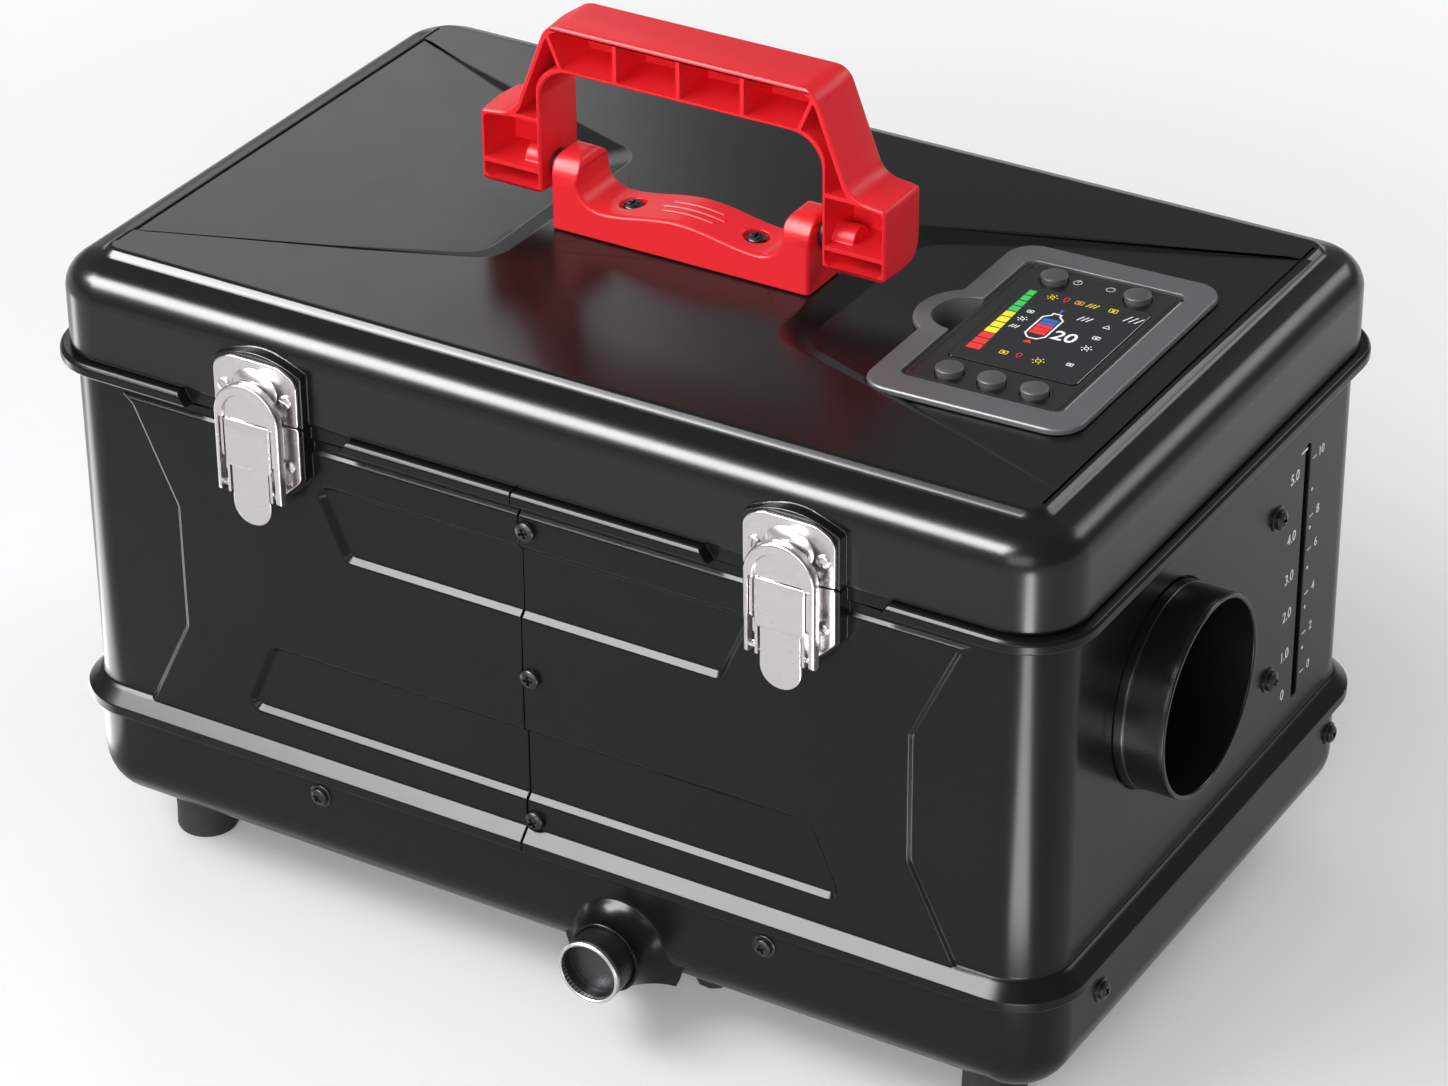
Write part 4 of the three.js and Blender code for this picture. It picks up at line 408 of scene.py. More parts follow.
lampSizes = {
    "frontSoftbox": {"place": (-0.79, -0.92, 1.42), "aim": (0, 0, 0.15), "size": (1.5, 0.5), "power": 18},
    "frontFill": {"place": (0.45, -1.7, 0.75), "aim": (0, 0, 0.2), "size": (1.2, 0.8), "power": 15},
    "backSoftbox": {"place": (0.75, 1.15, 1.0), "aim": (0.1, 0, 0.2), "size": (0.9, 0.35), "power": 6},
    "lidSoftbox": {"place": (-1.05, 1.10, 0.95), "aim": (-0.1, 0, 0.25), "size": (0.55, 0.5), "power": 1.6},
    # these three only show in reflections
    "edgeShine": {"place": (-0.80, -0.98, 1.38), "aim": (0, -0.13, 0.15), "size": (1.5, 0.7), "power": 125},
    "cornerShine": {"place": (0.375, -0.46, 0.012), "size": (0.09, 0.56), "power": 3.5, "turn": -29.4},
    "leftShine": {"place": (-0.47, -0.12, 0.012), "size": (0.44, 0.12), "power": 1.0, "turn": 0},
}


floorSizes = {"half": 15000, "thick": 12, "glow": 0.14, "whiteFrom": 0.38, "whiteTo": 1.1, "sky": 0.30}


# The floor's own glow only reaches the picture, reflections and glass: it lifts the floor to white
def floorMaterial():
    material = surface("floorWhite", (0.90, 0.90, 0.905), 0.65, drift=0.005, grain=0.02, grainScale=60,
                       specular=0.2)
    tree = material.node_tree
    rays = tree.nodes.new("ShaderNodeLightPath")
    seen = tree.nodes.new("ShaderNodeMath")
    seen.operation = "ADD"
    tree.links.new(rays.outputs["Is Camera Ray"], seen.inputs[0])
    tree.links.new(rays.outputs["Is Glossy Ray"], seen.inputs[1])
    through = tree.nodes.new("ShaderNodeMath")
    through.operation, through.use_clamp = "ADD", True
    tree.links.new(seen.outputs[0], through.inputs[0])
    tree.links.new(rays.outputs["Is Transmission Ray"], through.inputs[1])
    strength = tree.nodes.new("ShaderNodeMath")
    strength.operation = "MULTIPLY"
    strength.inputs[1].default_value = floorSizes["glow"]
    tree.links.new(through.outputs[0], strength.inputs[0])
    glow = tree.nodes.new("ShaderNodeEmission")
    tree.links.new(strength.outputs[0], glow.inputs["Strength"])
    both = tree.nodes.new("ShaderNodeAddShader")
    tree.links.new(tree.nodes["Principled BSDF"].outputs[0], both.inputs[0])
    tree.links.new(glow.outputs[0], both.inputs[1])
    # further off the floor turns plain white
    place, reach = tree.nodes.new("ShaderNodeTexCoord"), tree.nodes.new("ShaderNodeVectorMath")
    reach.operation = "LENGTH"
    tree.links.new(place.outputs["Object"], reach.inputs[0])
    far = tree.nodes.new("ShaderNodeMapRange")
    far.interpolation_type = "SMOOTHSTEP"
    far.inputs["From Min"].default_value = floorSizes["whiteFrom"]
    far.inputs["From Max"].default_value = floorSizes["whiteTo"]
    tree.links.new(reach.outputs["Value"], far.inputs["Value"])
    share = tree.nodes.new("ShaderNodeMath")
    share.operation = "MULTIPLY"
    tree.links.new(far.outputs["Result"], share.inputs[0])
    tree.links.new(through.outputs[0], share.inputs[1])
    white, mixed = tree.nodes.new("ShaderNodeEmission"), tree.nodes.new("ShaderNodeMixShader")
    tree.links.new(share.outputs[0], mixed.inputs[0])
    tree.links.new(both.outputs[0], mixed.inputs[1])
    tree.links.new(white.outputs[0], mixed.inputs[2])
    tree.links.new(mixed.outputs[0], tree.nodes["Material Output"].inputs["Surface"])
    return material


def makeStudio():
    for name, sizes in lampSizes.items():
        data = bpy.data.lights.new(name, "AREA")
        data.shape, data.size, data.size_y = "RECTANGLE", *sizes["size"]
        data.energy = sizes["power"]
        lamp = bpy.data.objects.new(name, data)
        lamp.location = sizes["place"]
        if "turn" in sizes:     # a strip lying on the floor, facing up, out of the picture
            lamp.rotation_euler = (Matrix.Rotation(math.radians(-sizes["turn"]), 3, "Z")
                                   @ Matrix.Rotation(math.pi, 3, "X")).to_euler()
        else:
            towards = Vector(sizes["aim"]) - Vector(sizes["place"])
            lamp.rotation_euler = towards.to_track_quat("-Z", "Y").to_euler()
        lamp.visible_camera = False
        lamp.visible_diffuse = "Shine" not in name
        scene.collection.objects.link(lamp)
    world = bpy.data.worlds.new("studioWorld")
    scene.world = world
    world.use_nodes = True
    sky = world.node_tree.nodes["Background"]
    sky.inputs["Color"].default_value = (0.95, 0.96, 0.98, 1)
    sky.inputs["Strength"].default_value = floorSizes["sky"]
    floor = prism(boxOutline(floorSizes["half"], floorSizes["half"]), "z", -floorSizes["thick"], 0)
    floor.name = "studioFloor"
    floor.data.transform(toPartFrame)
    floor.data.materials.append(floorMaterial())
    scene.view_settings.view_transform = "Standard"


makeCamera()
makeStudio()
print("camera and studio ready")

# Body halves: one moulding split at the centre seam
bodySizes = {
    "rimFaceLow": 4.6, "rimBevel": 4.0, "rimFaceHigh": 5.0, "topLand": 13.0, "landThick": 4.0, "skirt": 12.0,
    "fieldRaise": 1.5, "fieldWide": 177.0, "fieldNarrow": 154.3, "fieldCorner": 42.0,
    "recessDepth": 2.4, "recessSlope": 2.4, "upperRecess": (92.0, 79.0, 162.5, 30.0),
    "lowerRecess": (115.0, 128.5, 85.0, 31.0), "latchSpacing": 109.8, "latchCut": (37.5, 32.0),
    "seamScrewRises": (12.4, 73.4, 134.4), "slotY": 75.0, "slotSize": (4.4, 108.0), "slotLow": 20.0,
    "hingeSpacing": 120.0, "hingeOut": 4.6, "hingeRise": 1.0, "barrel": 4.0, "pin": 1.7, "knuckle": 12.0,
    "screwBore": 2.3, "outletBore": 38.6, "inletBore": 44.0, "socketBore": 12.3, "socketY": 74.0,
    "socketRise": 24.0, "lapHalf": 11.0, "lapThick": 3.0, "lapMargin": 12.0, "halfGap": 0.22, "padHalf": 19.0,
}
fieldY = wallY + bodySizes["fieldRaise"]
hingeY = halfDepth + bodySizes["hingeOut"]
hingeZ = seamZ + bodySizes["hingeRise"]


def bodyShell():
    s = bodySizes
    faceTop, inset = bodyLow + s["rimFaceLow"], caseSizes["sideInset"]
    inner = inset + caseSizes["wall"]
    skirtIn = 5.0 + caseSizes["wall"] + fitGap
    slope = s["topLand"] - inner
    profile = [(0.5, bodyLow), (0.12, bodyLow + 0.2), (0, bodyLow + 0.7), (0, faceTop - 0.8),
               (0.3, faceTop - 0.2), (0.6, faceTop + 0.1),
               (0.6 + s["rimBevel"], faceTop + 0.1 + s["rimBevel"]),
               (inset - 1.0, faceTop + s["rimBevel"] + 0.75), (inset - 0.25, faceTop + s["rimBevel"] + 1.3),
               (inset, faceTop + s["rimBevel"] + 2.1), (inset, seamZ - s["rimFaceHigh"] - 1.6),
               (inset - 0.4, seamZ - s["rimFaceHigh"] - 0.8), (inset - 1.2, seamZ - s["rimFaceHigh"] - 0.4),
               (0.6, seamZ - s["rimFaceHigh"]), (0, seamZ - s["rimFaceHigh"] + 0.6), (0, seamZ - 1.8),
               (0.25, seamZ - 1.0), (0.8, seamZ - 0.3), (1.6, seamZ), (s["topLand"], seamZ),
               (s["topLand"], seamZ - s["landThick"]), (inner, seamZ - s["landThick"] - slope),
               (inner, faceTop + s["rimBevel"] + caseSizes["wall"]),
               (skirtIn + caseSizes["wall"], faceTop + caseSizes["wall"]),
               (skirtIn + caseSizes["wall"], bodyLow - s["skirt"]), (skirtIn, bodyLow - s["skirt"]),
               (skirtIn, bodyLow)]
    return caseSweep(profile, True)


def fieldOutline():
    s = bodySizes
    low, high = bodyLow + s["rimFaceLow"] + 1, seamZ - s["rimFaceHigh"] - 5
    mid, rise = (low + high) / 2, (high - low) / 2 - s["fieldCorner"]
    side = [(s["fieldWide"], low), (s["fieldWide"] - 5, low + 6), (s["fieldNarrow"], mid - rise),
            (s["fieldNarrow"], mid + rise), (s["fieldWide"] - 5, high - 4), (s["fieldWide"], high)]
    mirrored = [(-x, z) for x, z in reversed(side)]
    return roundCorners(side + mirrored, [0, 2, 5, 5, 2, 0, 0, 2, 5, 5, 2, 0], 6)


def raisedField(side):
    raised = bodySizes["fieldRaise"]
    face, back = side * fieldY, side * (wallY - 1.2)
    return steppedPrism(fieldOutline(), "y", sorted([(face, raised), (face - side * raised, 0), (back, 0)],
                                                    key=lambda level: level[0]))


def recessTool(shape):
    topHalf, lowHalf, low, tall = shape
    outline = roundCorners([(-lowHalf, low), (lowHalf, low), (topHalf, low + tall), (-topHalf, low + tall)],
                           5, 8)
    depth, slope = bodySizes["recessDepth"], bodySizes["recessSlope"]
    return steppedPrism(outline, "y", [(-fieldY - 4, 0), (-fieldY, 0), (-fieldY + depth, slope)])


def rimCutTool(x):
    topHalf, lowHalf = bodySizes["latchCut"]
    low, high = seamZ - bodySizes["rimFaceHigh"] - 1.5, seamZ + 1
    return prism([(x - lowHalf, low), (x + lowHalf, low), (x + topHalf, high), (x - topHalf, high)], "y",
                 -halfDepth - 1, -fieldY)


def padBelow(x):
    half, toe, shoulder = bodySizes["padHalf"], seamZ - 29.5, seamZ - 20.6
    outline = roundCorners([(x - half, shoulder), (x - half + 8, toe), (x + half - 8, toe),
                            (x + half, shoulder), (x + half, seamZ),
                            (x - half, seamZ)], [3, 5, 5, 3, 0, 0], 8)
    return prism(outline, "y", -halfDepth, -wallY + 1)


def hingeLugs(x):
    s, lugs = bodySizes, []
    outer, inner = 1.5 * s["knuckle"] + fitGap, 0.5 * s["knuckle"] + fitGap
    for low, high in ((x - outer, x - inner), (x + inner, x + outer)):
        lugs.append(rod("x", s["barrel"], low, high, hingeY, hingeZ))
        lugs.append(block(low, high, halfDepth - 2, hingeY, seamZ - s["rimFaceHigh"], seamZ - 0.2))
    return lugs


def hingeBore(x):
    return rod("x", bodySizes["pin"] + fitGap, x - 24, x + 24, hingeY, hingeZ, 32)


def seamLap(side):
    inner, half = wallY - caseSizes["wall"] - fitGap, bodySizes["lapHalf"]
    faces = sorted([side * inner, side * (inner - bodySizes["lapThick"])])
    seam = caseSizes["centreSeamX"]
    z0, z1 = bodyLow + bodySizes["lapMargin"], seamZ - bodySizes["lapMargin"]
    lap = block(seam - half, seam + half, *faces, z0, z1)
    root = block(seam - half, seam - 1, *sorted([side * (inner + 1), side * (inner - 1)]), z0, z1)
    return join(lap, root)


def makeBody():
    s = bodySizes
    whole = join(bodyShell(), raisedField(-1), raisedField(1))
    cut(whole, recessTool(s["upperRecess"]), recessTool(s["lowerRecess"]))
    for side in (-1, 1):
        cut(whole, rimCutTool(side * s["latchSpacing"]))
        join(whole, padBelow(side * s["latchSpacing"]), *hingeLugs(side * s["hingeSpacing"]))
        cut(whole, hingeBore(side * s["hingeSpacing"]))
    slotMiddle = bodyLow + s["slotLow"] + s["slotSize"][1] / 2
    slot = prism(boxOutline(s["slotSize"][0] / 2, s["slotSize"][1] / 2, 1.5, 6, s["slotY"], slotMiddle), "x",
                 wallX - 6, wallX + 1)
    cut(whole, slot, rod("x", s["outletBore"], wallX - 6, wallX + 1, *outletPlace, 96),
        rod("x", s["inletBore"], -wallX - 1, -wallX + 6, *outletPlace, 96),
        rod("x", s["socketBore"], -wallX - 1, -wallX + 6, s["socketY"], bodyLow + s["socketRise"], 48))
    reach, seam = halfWidth + 10, caseSizes["centreSeamX"]
    bores = [bodyLow + rise for rise in s["seamScrewRises"]]
    right = copyOf(whole)
    keep(whole, block(-reach, seam - s["halfGap"], -reach, reach, 0, lidTop))
    join(whole, seamLap(-1), seamLap(1))
    keep(right, block(seam + s["halfGap"], reach, -reach, reach, 0, lidTop))
    for half, name in ((whole, "body_left"), (right, "body_right")):
        cut(half, *[rod("y", s["screwBore"], -wallY - 3, -wallY + 8, 0, z, 24) for z in bores])
        softenEdges(half, 0.45, 3)
        finishPiece(half, name.replace("body_", "bodyHalf_"), finishes["case_black"], name)


makeBody()
print("body halves done")

# Bottom pan with the swelling round the exhaust tip
panSizes = {"inset": 5.0, "rounding": 18.0, "low": 22.0, "exhaustX": 35.0, "exhaustZ": 35.5,
            "exhaustRadius": 12.5, "exhaustWall": 1.2, "exhaustTop": 118.7, "exhaustLow": 40.5,
            "mouthY": -150.3, "flareRadius": 26.0, "intake": (60.0, -103.0), "intakeRadius": 7.0,
            "feet": (174.0, 98.0), "footRadius": 12.0}


def exhaustRoute():
    x, low, tip = panSizes["exhaustX"], panSizes["exhaustLow"], panSizes["exhaustZ"]
    return [(x, -42, panSizes["exhaustTop"]), (x, -42, low + 34), (x, -46, low + 13), (x, -60.2, low + 2),
            (x, -80, low), (x, -100, tip + 1), (x, -112, tip), (x, panSizes["mouthY"], tip)]


def smoothRoute(points, steps):
    points = [Vector(p) for p in points]
    padded = [points[0] * 2 - points[1]] + points + [points[-1] * 2 - points[-2]]
    route = []
    for i in range(len(points) - 1):
        p0, p1, p2, p3 = padded[i:i + 4]
        t0 = 0.0
        t1 = t0 + (p1 - p0).length ** 0.5
        t2 = t1 + (p2 - p1).length ** 0.5
        t3 = t2 + (p3 - p2).length ** 0.5
        for k in range(steps):
            t = t1 + (t2 - t1) * k / steps
            a1 = p0 * ((t1 - t) / (t1 - t0)) + p1 * ((t - t0) / (t1 - t0))
            a2 = p1 * ((t2 - t) / (t2 - t1)) + p2 * ((t - t1) / (t2 - t1))
            a3 = p2 * ((t3 - t) / (t3 - t2)) + p3 * ((t - t2) / (t3 - t2))
            b1 = a1 * ((t2 - t) / (t2 - t0)) + a2 * ((t - t0) / (t2 - t0))
            b2 = a2 * ((t3 - t) / (t3 - t1)) + a3 * ((t - t1) / (t3 - t1))
            route.append(b1 * ((t2 - t) / (t2 - t1)) + b2 * ((t - t1) / (t2 - t1)))
    return route + [points[-1]]


# A round pipe along a route: one radius gives a solid bar, two give a wall
def pipeAlong(points, radii, sides=40, steps=8):
    route = smoothRoute(points, steps)
    rings, sections, side = [], [], None
    for i, here in enumerate(route):
        along = (route[min(i + 1, len(route) - 1)] - route[max(i - 1, 0)]).normalized()
        if side is None:
            side = along.orthogonal().normalized()
        side = (side - along * side.dot(along)).normalized()
        sections.append((here, side.copy(), along.cross(side)))
    around = [2 * math.pi * k / sides for k in range(sides)]
    for radius in radii:
        rings.append([[tuple(here + (u * math.cos(a) + v * math.sin(a)) * radius) for a in around]
                      for here, u, v in sections])
    if len(radii) == 1:
        return stackRings(rings[0])
    return stackRings(rings[0] + list(reversed(rings[1])), True)


chassisFront = 104.0      # how far the chassis reaches towards the front


def exhaustFlare():
    s = panSizes
    sleeve, mouth = s["exhaustRadius"] + fitGap + 1.4, s["mouthY"] + 11
    run = -mouth - (halfDepth - s["inset"]) + caseSizes["wall"] - 0.5
    profile = [(sleeve, mouth)]
    for i in range(1, 15):
        a = math.pi / 2 * i / 14
        profile.append((sleeve + (s["flareRadius"] - sleeve) * (1 - math.cos(a)), mouth + run * math.sin(a)))
    cone = lathe(profile, "y", s["exhaustX"], s["exhaustZ"])
    collar = rod("y", sleeve, mouth, -chassisFront - 1, s["exhaustX"], s["exhaustZ"], 64)
    return keep(join(cone, collar),
                block(s["exhaustX"] - 40, s["exhaustX"] + 40, mouth - 1, 0, s["low"], bodyLow))


def makePan():
    s = panSizes
    inner, radius = s["inset"] + caseSizes["wall"], s["rounding"]

    def arc(size, inset, low, angles):
        return [(inset + size * (1 - math.sin(math.radians(a))), low + size * (1 - math.cos(math.radians(a))))
                for a in angles]

    top = bodyLow - fitGap
    profile = arc(radius, s["inset"], s["low"], range(0, 91, 9)) + [(s["inset"], top), (inner, top)]
    profile += arc(radius - caseSizes["wall"], inner, s["low"] + caseSizes["wall"], range(90, -1, -15))
    pan = join(caseSweep(profile, False), exhaustFlare())
    cut(pan, pipeAlong(exhaustRoute(), [s["exhaustRadius"] + fitGap]),
        rod("z", s["intakeRadius"] + 2 * fitGap, s["low"] - 1, s["low"] + 8, *s["intake"]))
    softenEdges(pan, 0.5, 3)
    finishPiece(pan, "bottomPan", finishes["case_black"], "bottom_pan")
    corners = (("front_left", -1, -1), ("front_right", 1, -1), ("back_left", -1, 1), ("back_right", 1, 1))
    for word, sx, sy in corners:
        r = s["footRadius"]
        profile = [(0, 0.6), (r - 6, 0.6), (r - 5.4, 0), (r - 1.6, 0), (r - 0.5, 0.5), (r, 1.6), (r - 0.3, 9),
                   (r, 17), (r, s["low"] - fitGap), (0, s["low"] - fitGap)]
        foot = lathe(profile, "z", sx * s["feet"][0], sy * s["feet"][1], 56)
        softenEdges(foot, 0)
        finishPiece(foot, "foot_" + word + "_rubber", finishes["black_rubber"], "foot_" + word)


makePan()
print("pan and feet done")

# Lid with its two sunk wedges
lidSizes = {"inset": 4.0, "shoulder": 12.0, "wallRise": 22.5, "plateau": 22.0, "topThick": 6.5,
            "wedgeDepth": 3.2, "wedgeInner": 57.0, "wedgeShift": -4.6, "wedgeOuter": 190.0,
            "wedgeHalves": (49.0, 96.0), "wedgeBevel": 11.0, "gasket": (8.0, 3.0, 2.0),
            "handleCentre": (-3.3, -7.3), "handleScrewX": 26.0}


def lidProfile():
    s, wall = lidSizes, caseSizes["wall"]
    arcZ, arcInset = lidLow + s["wallRise"], s["inset"] + s["shoulder"]

    def arc(radius, angles):
        return [(arcInset - radius * math.cos(math.radians(a)), arcZ + radius * math.sin(math.radians(a)))
                for a in angles]

    gIn, gOut = s["gasket"][0] - fitGap, s["gasket"][0] + s["gasket"][1] + fitGap
    gTop = lidLow + s["gasket"][2] - caseSizes["seamGap"] + 2 * fitGap
    land = bodySizes["topLand"]
    profile = [(s["plateau"], lidTop - s["topThick"])] + arc(s["shoulder"] - wall, range(60, -1, -10))
    profile += [(s["inset"] + wall, lidLow + 8), (land, lidLow + 4), (land, lidLow), (gOut, lidLow),
                (gOut, gTop), (gIn, gTop), (gIn, lidLow), (s["inset"] + 0.7, lidLow),
                (s["inset"] + 0.15, lidLow + 0.2), (s["inset"], lidLow + 0.8)]
    profile += arc(s["shoulder"], range(0, 71, 5))
    edge = s["plateau"]
    profile += [(edge - 7.2, lidTop - 3.75), (edge - 5.2, lidTop - 3.15), (edge - 4.2, lidTop - 2.85),
                (edge - 3.3, lidTop - 2.4), (edge - 2.1, lidTop - 1.25), (edge - 1.2, lidTop - 0.55),
                (edge - 0.3, lidTop - 0.15), (edge + 1.2, lidTop)]
    return profile


def wedgeTool(side):
    s = lidSizes
    depth, bevel = s["wedgeDepth"], s["wedgeBevel"]
    innerHalf, outerHalf = s["wedgeHalves"]
    slope, far = depth / (s["wedgeOuter"] - s["wedgeInner"]), s["wedgeOuter"] + 12

    def outlineAt(spread, z):
        innerX, grow = s["wedgeInner"] + side * s["wedgeShift"] - spread * bevel, spread * bevel * 0.55
        farHalf = outerHalf + (outerHalf - innerHalf) * 12 / (s["wedgeOuter"] - s["wedgeInner"]) + grow
        corners = [(innerX, -innerHalf - grow), (far, -farHalf), (far, farHalf), (innerX, innerHalf + grow)]
        return [(side * x, side * y, z) for x, y in roundCorners(corners, [14, 2, 2, 14], 14)]

    bowl = stackRings([outlineAt(-(1 + 1 / depth), lidTop - depth - 1), outlineAt(2 / depth, lidTop + 2)])
    end = far + 5
    floor = [(0, lidTop - depth - slope * s["wedgeInner"]), (end, lidTop + slope * (end - s["wedgeOuter"])),
             (end, lidTop + 7), (0, lidTop + 7)]
    return keep(bowl, prism([(side * x, z) for x, z in floor], "y", -halfDepth, halfDepth))


def crownOutline(x, half, low, margin):
    shoulder = seamZ + 20 + margin
    points = [(x - half, low), (x + half, low), (x + half, shoulder)]
    for i in range(1, 20):
        t = 1 - 2 * i / 20
        points.append((x + half * t, shoulder + 5.3 * (1 - t * t)))
    return points + [(x - half, shoulder)]


panelSizes = {"place": (137.4, -3.2), "bezel": (41.8, 61.3, 11.0), "rise": 2.4, "notch": (-31.0, 1.0, 13.0),
              "band": 6.6, "well": 9.0, "controller": (31.4, 48.8, 4.0), "thick": 17.0, "proud": 1.9,
              "lens": (25.0, 30.0, 1.5, 1.5), "button": (5.1, 3.2), "pitch": 16.6, "edge": 9.3,
              "trayGap": 0.4}
panelTilt = math.atan(lidSizes["wedgeDepth"] / (lidSizes["wedgeOuter"] - lidSizes["wedgeInner"]))
panelZ = lidTop - (lidSizes["wedgeOuter"] - panelSizes["place"][0]) * math.tan(panelTilt)
onPanel = Matrix.Translation((*panelSizes["place"], panelZ)) @ Matrix.Rotation(-panelTilt, 4, "Y")


def panelSeat():
    s = panelSizes
    halfX, halfY, corner = s["controller"]
    gap = 2.0 + 2 * s["trayGap"]
    seat = join(prism(boxOutline(halfX + gap, halfY + gap, corner), "z", -40, 20),
                rod("z", s["notch"][2] + gap, -40, 20, *s["notch"][:2]),
                prism(boxOutline(s["bezel"][0] + fitGap, s["bezel"][1] + fitGap, s["bezel"][2]), "z", 0, 20))
    seat.data.transform(onPanel)
    return seat


def makeLid():
    s = bodySizes
    lid = caseSweep(lidProfile(), False)
    cut(lid, wedgeTool(1), wedgeTool(-1), panelSeat())
    for side in (-1, 1):
        x, hinge = side * s["latchSpacing"], side * s["hingeSpacing"]
        half = s["knuckle"] / 2 - fitGap
        crown = crownOutline(x, s["padHalf"], lidLow, 1.0)
        join(lid, prism(crown, "y", -halfDepth, -halfDepth + caseSizes["wall"] + 3),
             rod("x", s["barrel"], hinge - half, hinge + half, hingeY, hingeZ),
             block(hinge - half, hinge + half, halfDepth - 5, hingeY, lidLow + fitGap, hingeZ + s["barrel"]))
        screwX = lidSizes["handleCentre"][0] + side * lidSizes["handleScrewX"]
        screwY = lidSizes["handleCentre"][1]
        cut(lid, hingeBore(hinge), rod("z", s["screwBore"], lidTop - 12, lidTop + 1, screwX, screwY, 24))
    softenEdges(lid, 0.6, 3, angle=14)
    finishPiece(lid, "lidShell", finishes["lid_black"], "lid")


makeLid()
print("lid done")

# Carrying handle and its saddle
handleSizes = {"centre": lidSizes["handleCentre"], "pivotRise": 21.0, "baseHalf": 54.3, "baseDepth": 23.6,
               "lugWidth": 11.5, "lugRise": 29.6, "saddle": (11.6, 15.8), "fillet": 9.0,
               "screwX": lidSizes["handleScrewX"], "screwSink": 1.3, "foot": (58.0, 85.3), "footDrop": 9.2,
               "footRise": 20.6, "depths": (-10.7, 15.3), "rise": 60.6, "grip": 19.0, "shoulder": 55.6,
               "ribPitch": 26.4, "wall": 2.2, "pocket": 20.0, "rib": 1.8, "pinRadius": 3.0}
pivotZ = lidTop + handleSizes["pivotRise"]
handleShift = Matrix.Translation((*handleSizes["centre"], 0))
gripTop = pivotZ + handleSizes["rise"]


def saddleHeight(x):
    low, high = handleSizes["saddle"]
    flat = handleSizes["baseHalf"] - handleSizes["lugWidth"] - handleSizes["fillet"]
    return lidTop + fitGap + low + (high - low) * 0.5 * (1 + math.cos(math.pi * x / flat))


def makeHandleBase():
    s = handleSizes
    low, top, half = lidTop + fitGap, lidTop + s["lugRise"], s["baseDepth"] / 2
    outer, inner = s["baseHalf"], s["baseHalf"] - s["lugWidth"]
    flat, seat = inner - s["fillet"], low + s["saddle"][0]
    saddle = [(flat * (1 - 2 * i / 24), saddleHeight(flat * (1 - 2 * i / 24))) for i in range(1, 24)]
    corners = [(-outer, low - 4), (outer, low - 4), (outer, top), (inner, top), (inner, seat)] + saddle
    corners += [(-inner, seat), (-inner, top), (-outer, top)]
    radii = [0, 0, 3.2, 4.2, s["fillet"]] + [0] * len(saddle) + [s["fillet"], 4.2, 3.2]
    outline = roundCorners(corners, radii, 8)
    base = steppedPrism(outline, "y",
                        [(-half, 1.7), (-half + 0.35, 0.95), (-half + 1.0, 0.35), (-half + 2.0, 0),
                                       (half - 2.0, 0), (half - 1.0, 0.35), (half - 0.35, 0.95), (half, 1.7)])
    side = roundCorners([(-half, low), (half, low), (half, top), (-half, top)], [0, 0, 10.5, 10.5], 14)
    keep(base, prism(side, "x", -outer - 1, outer + 1))
    for end in (-1, 1):
        pin = sorted([end * (outer - 10), end * (outer + 1)])
        cut(base, rod("z", bodySizes["screwBore"], low - 1, top, end * s["screwX"], 0, 24),
            rod("z", 5.0, lidTop + s["saddle"][0] - s["screwSink"], top, end * s["screwX"], 0, 40),
            rod("x", s["pinRadius"] + fitGap, *pin, 0, pivotZ, 32))
    softenEdges(base, 0.7, 3, angle=30)
    base.data.transform(handleShift)
    finishPiece(base, "handleSaddle", finishes["handle_red"], "handle_base")


def handleSide(inset):
    s = handleSizes
    low, step = pivotZ - s["footDrop"] + inset, pivotZ + s["footRise"] - inset
    top, under = gripTop - inset, gripTop - s["grip"] + inset
    outer, inner = s["foot"][1] - inset, s["foot"][0] + inset
    corners = [(inner, low), (outer, low), (outer, step), (s["foot"][0] + 13 - inset, step + 1.5),
               (s["shoulder"] + 0.6 - inset, top), (0, top), (0, under), (inner, under)]
    return roundCorners(corners, [2.2, 3.0, 2.4, 9, 9, 0, 0, 12], 9)


def handlePockets():
    s = handleSizes
    front, back = s["depths"][0] - 1, s["depths"][0] + s["pocket"]
    outline = handleSide(s["wall"])
    pockets = steppedPrism(outline, "y", [(front, -0.25), (s["depths"][0], 0), (back, 0.6)])
    under, step, rib, pitch = gripTop - s["grip"], pivotZ + s["footRise"], s["rib"] / 2, s["ribPitch"]
    inner, outer = s["foot"]
    low, high = s["shoulder"] - 7, s["shoulder"] - 0.5
    lean = [(low - rib, under), (low + rib, under), (high + rib, gripTop - 4), (high - rib, gripTop - 4)]
    cut(pockets, block(-rib, rib, front, back, under, gripTop),
        block(pitch - rib, pitch + rib, front, back, under, gripTop),
        block(inner, outer, front, back, step - rib, step + rib),
        block(inner, outer, front, back, pivotZ - rib, pivotZ + rib), prism(lean, "y", front, back),
        rod("x", 6.0, inner, inner + 11, 0, pivotZ, 48))
    return pockets


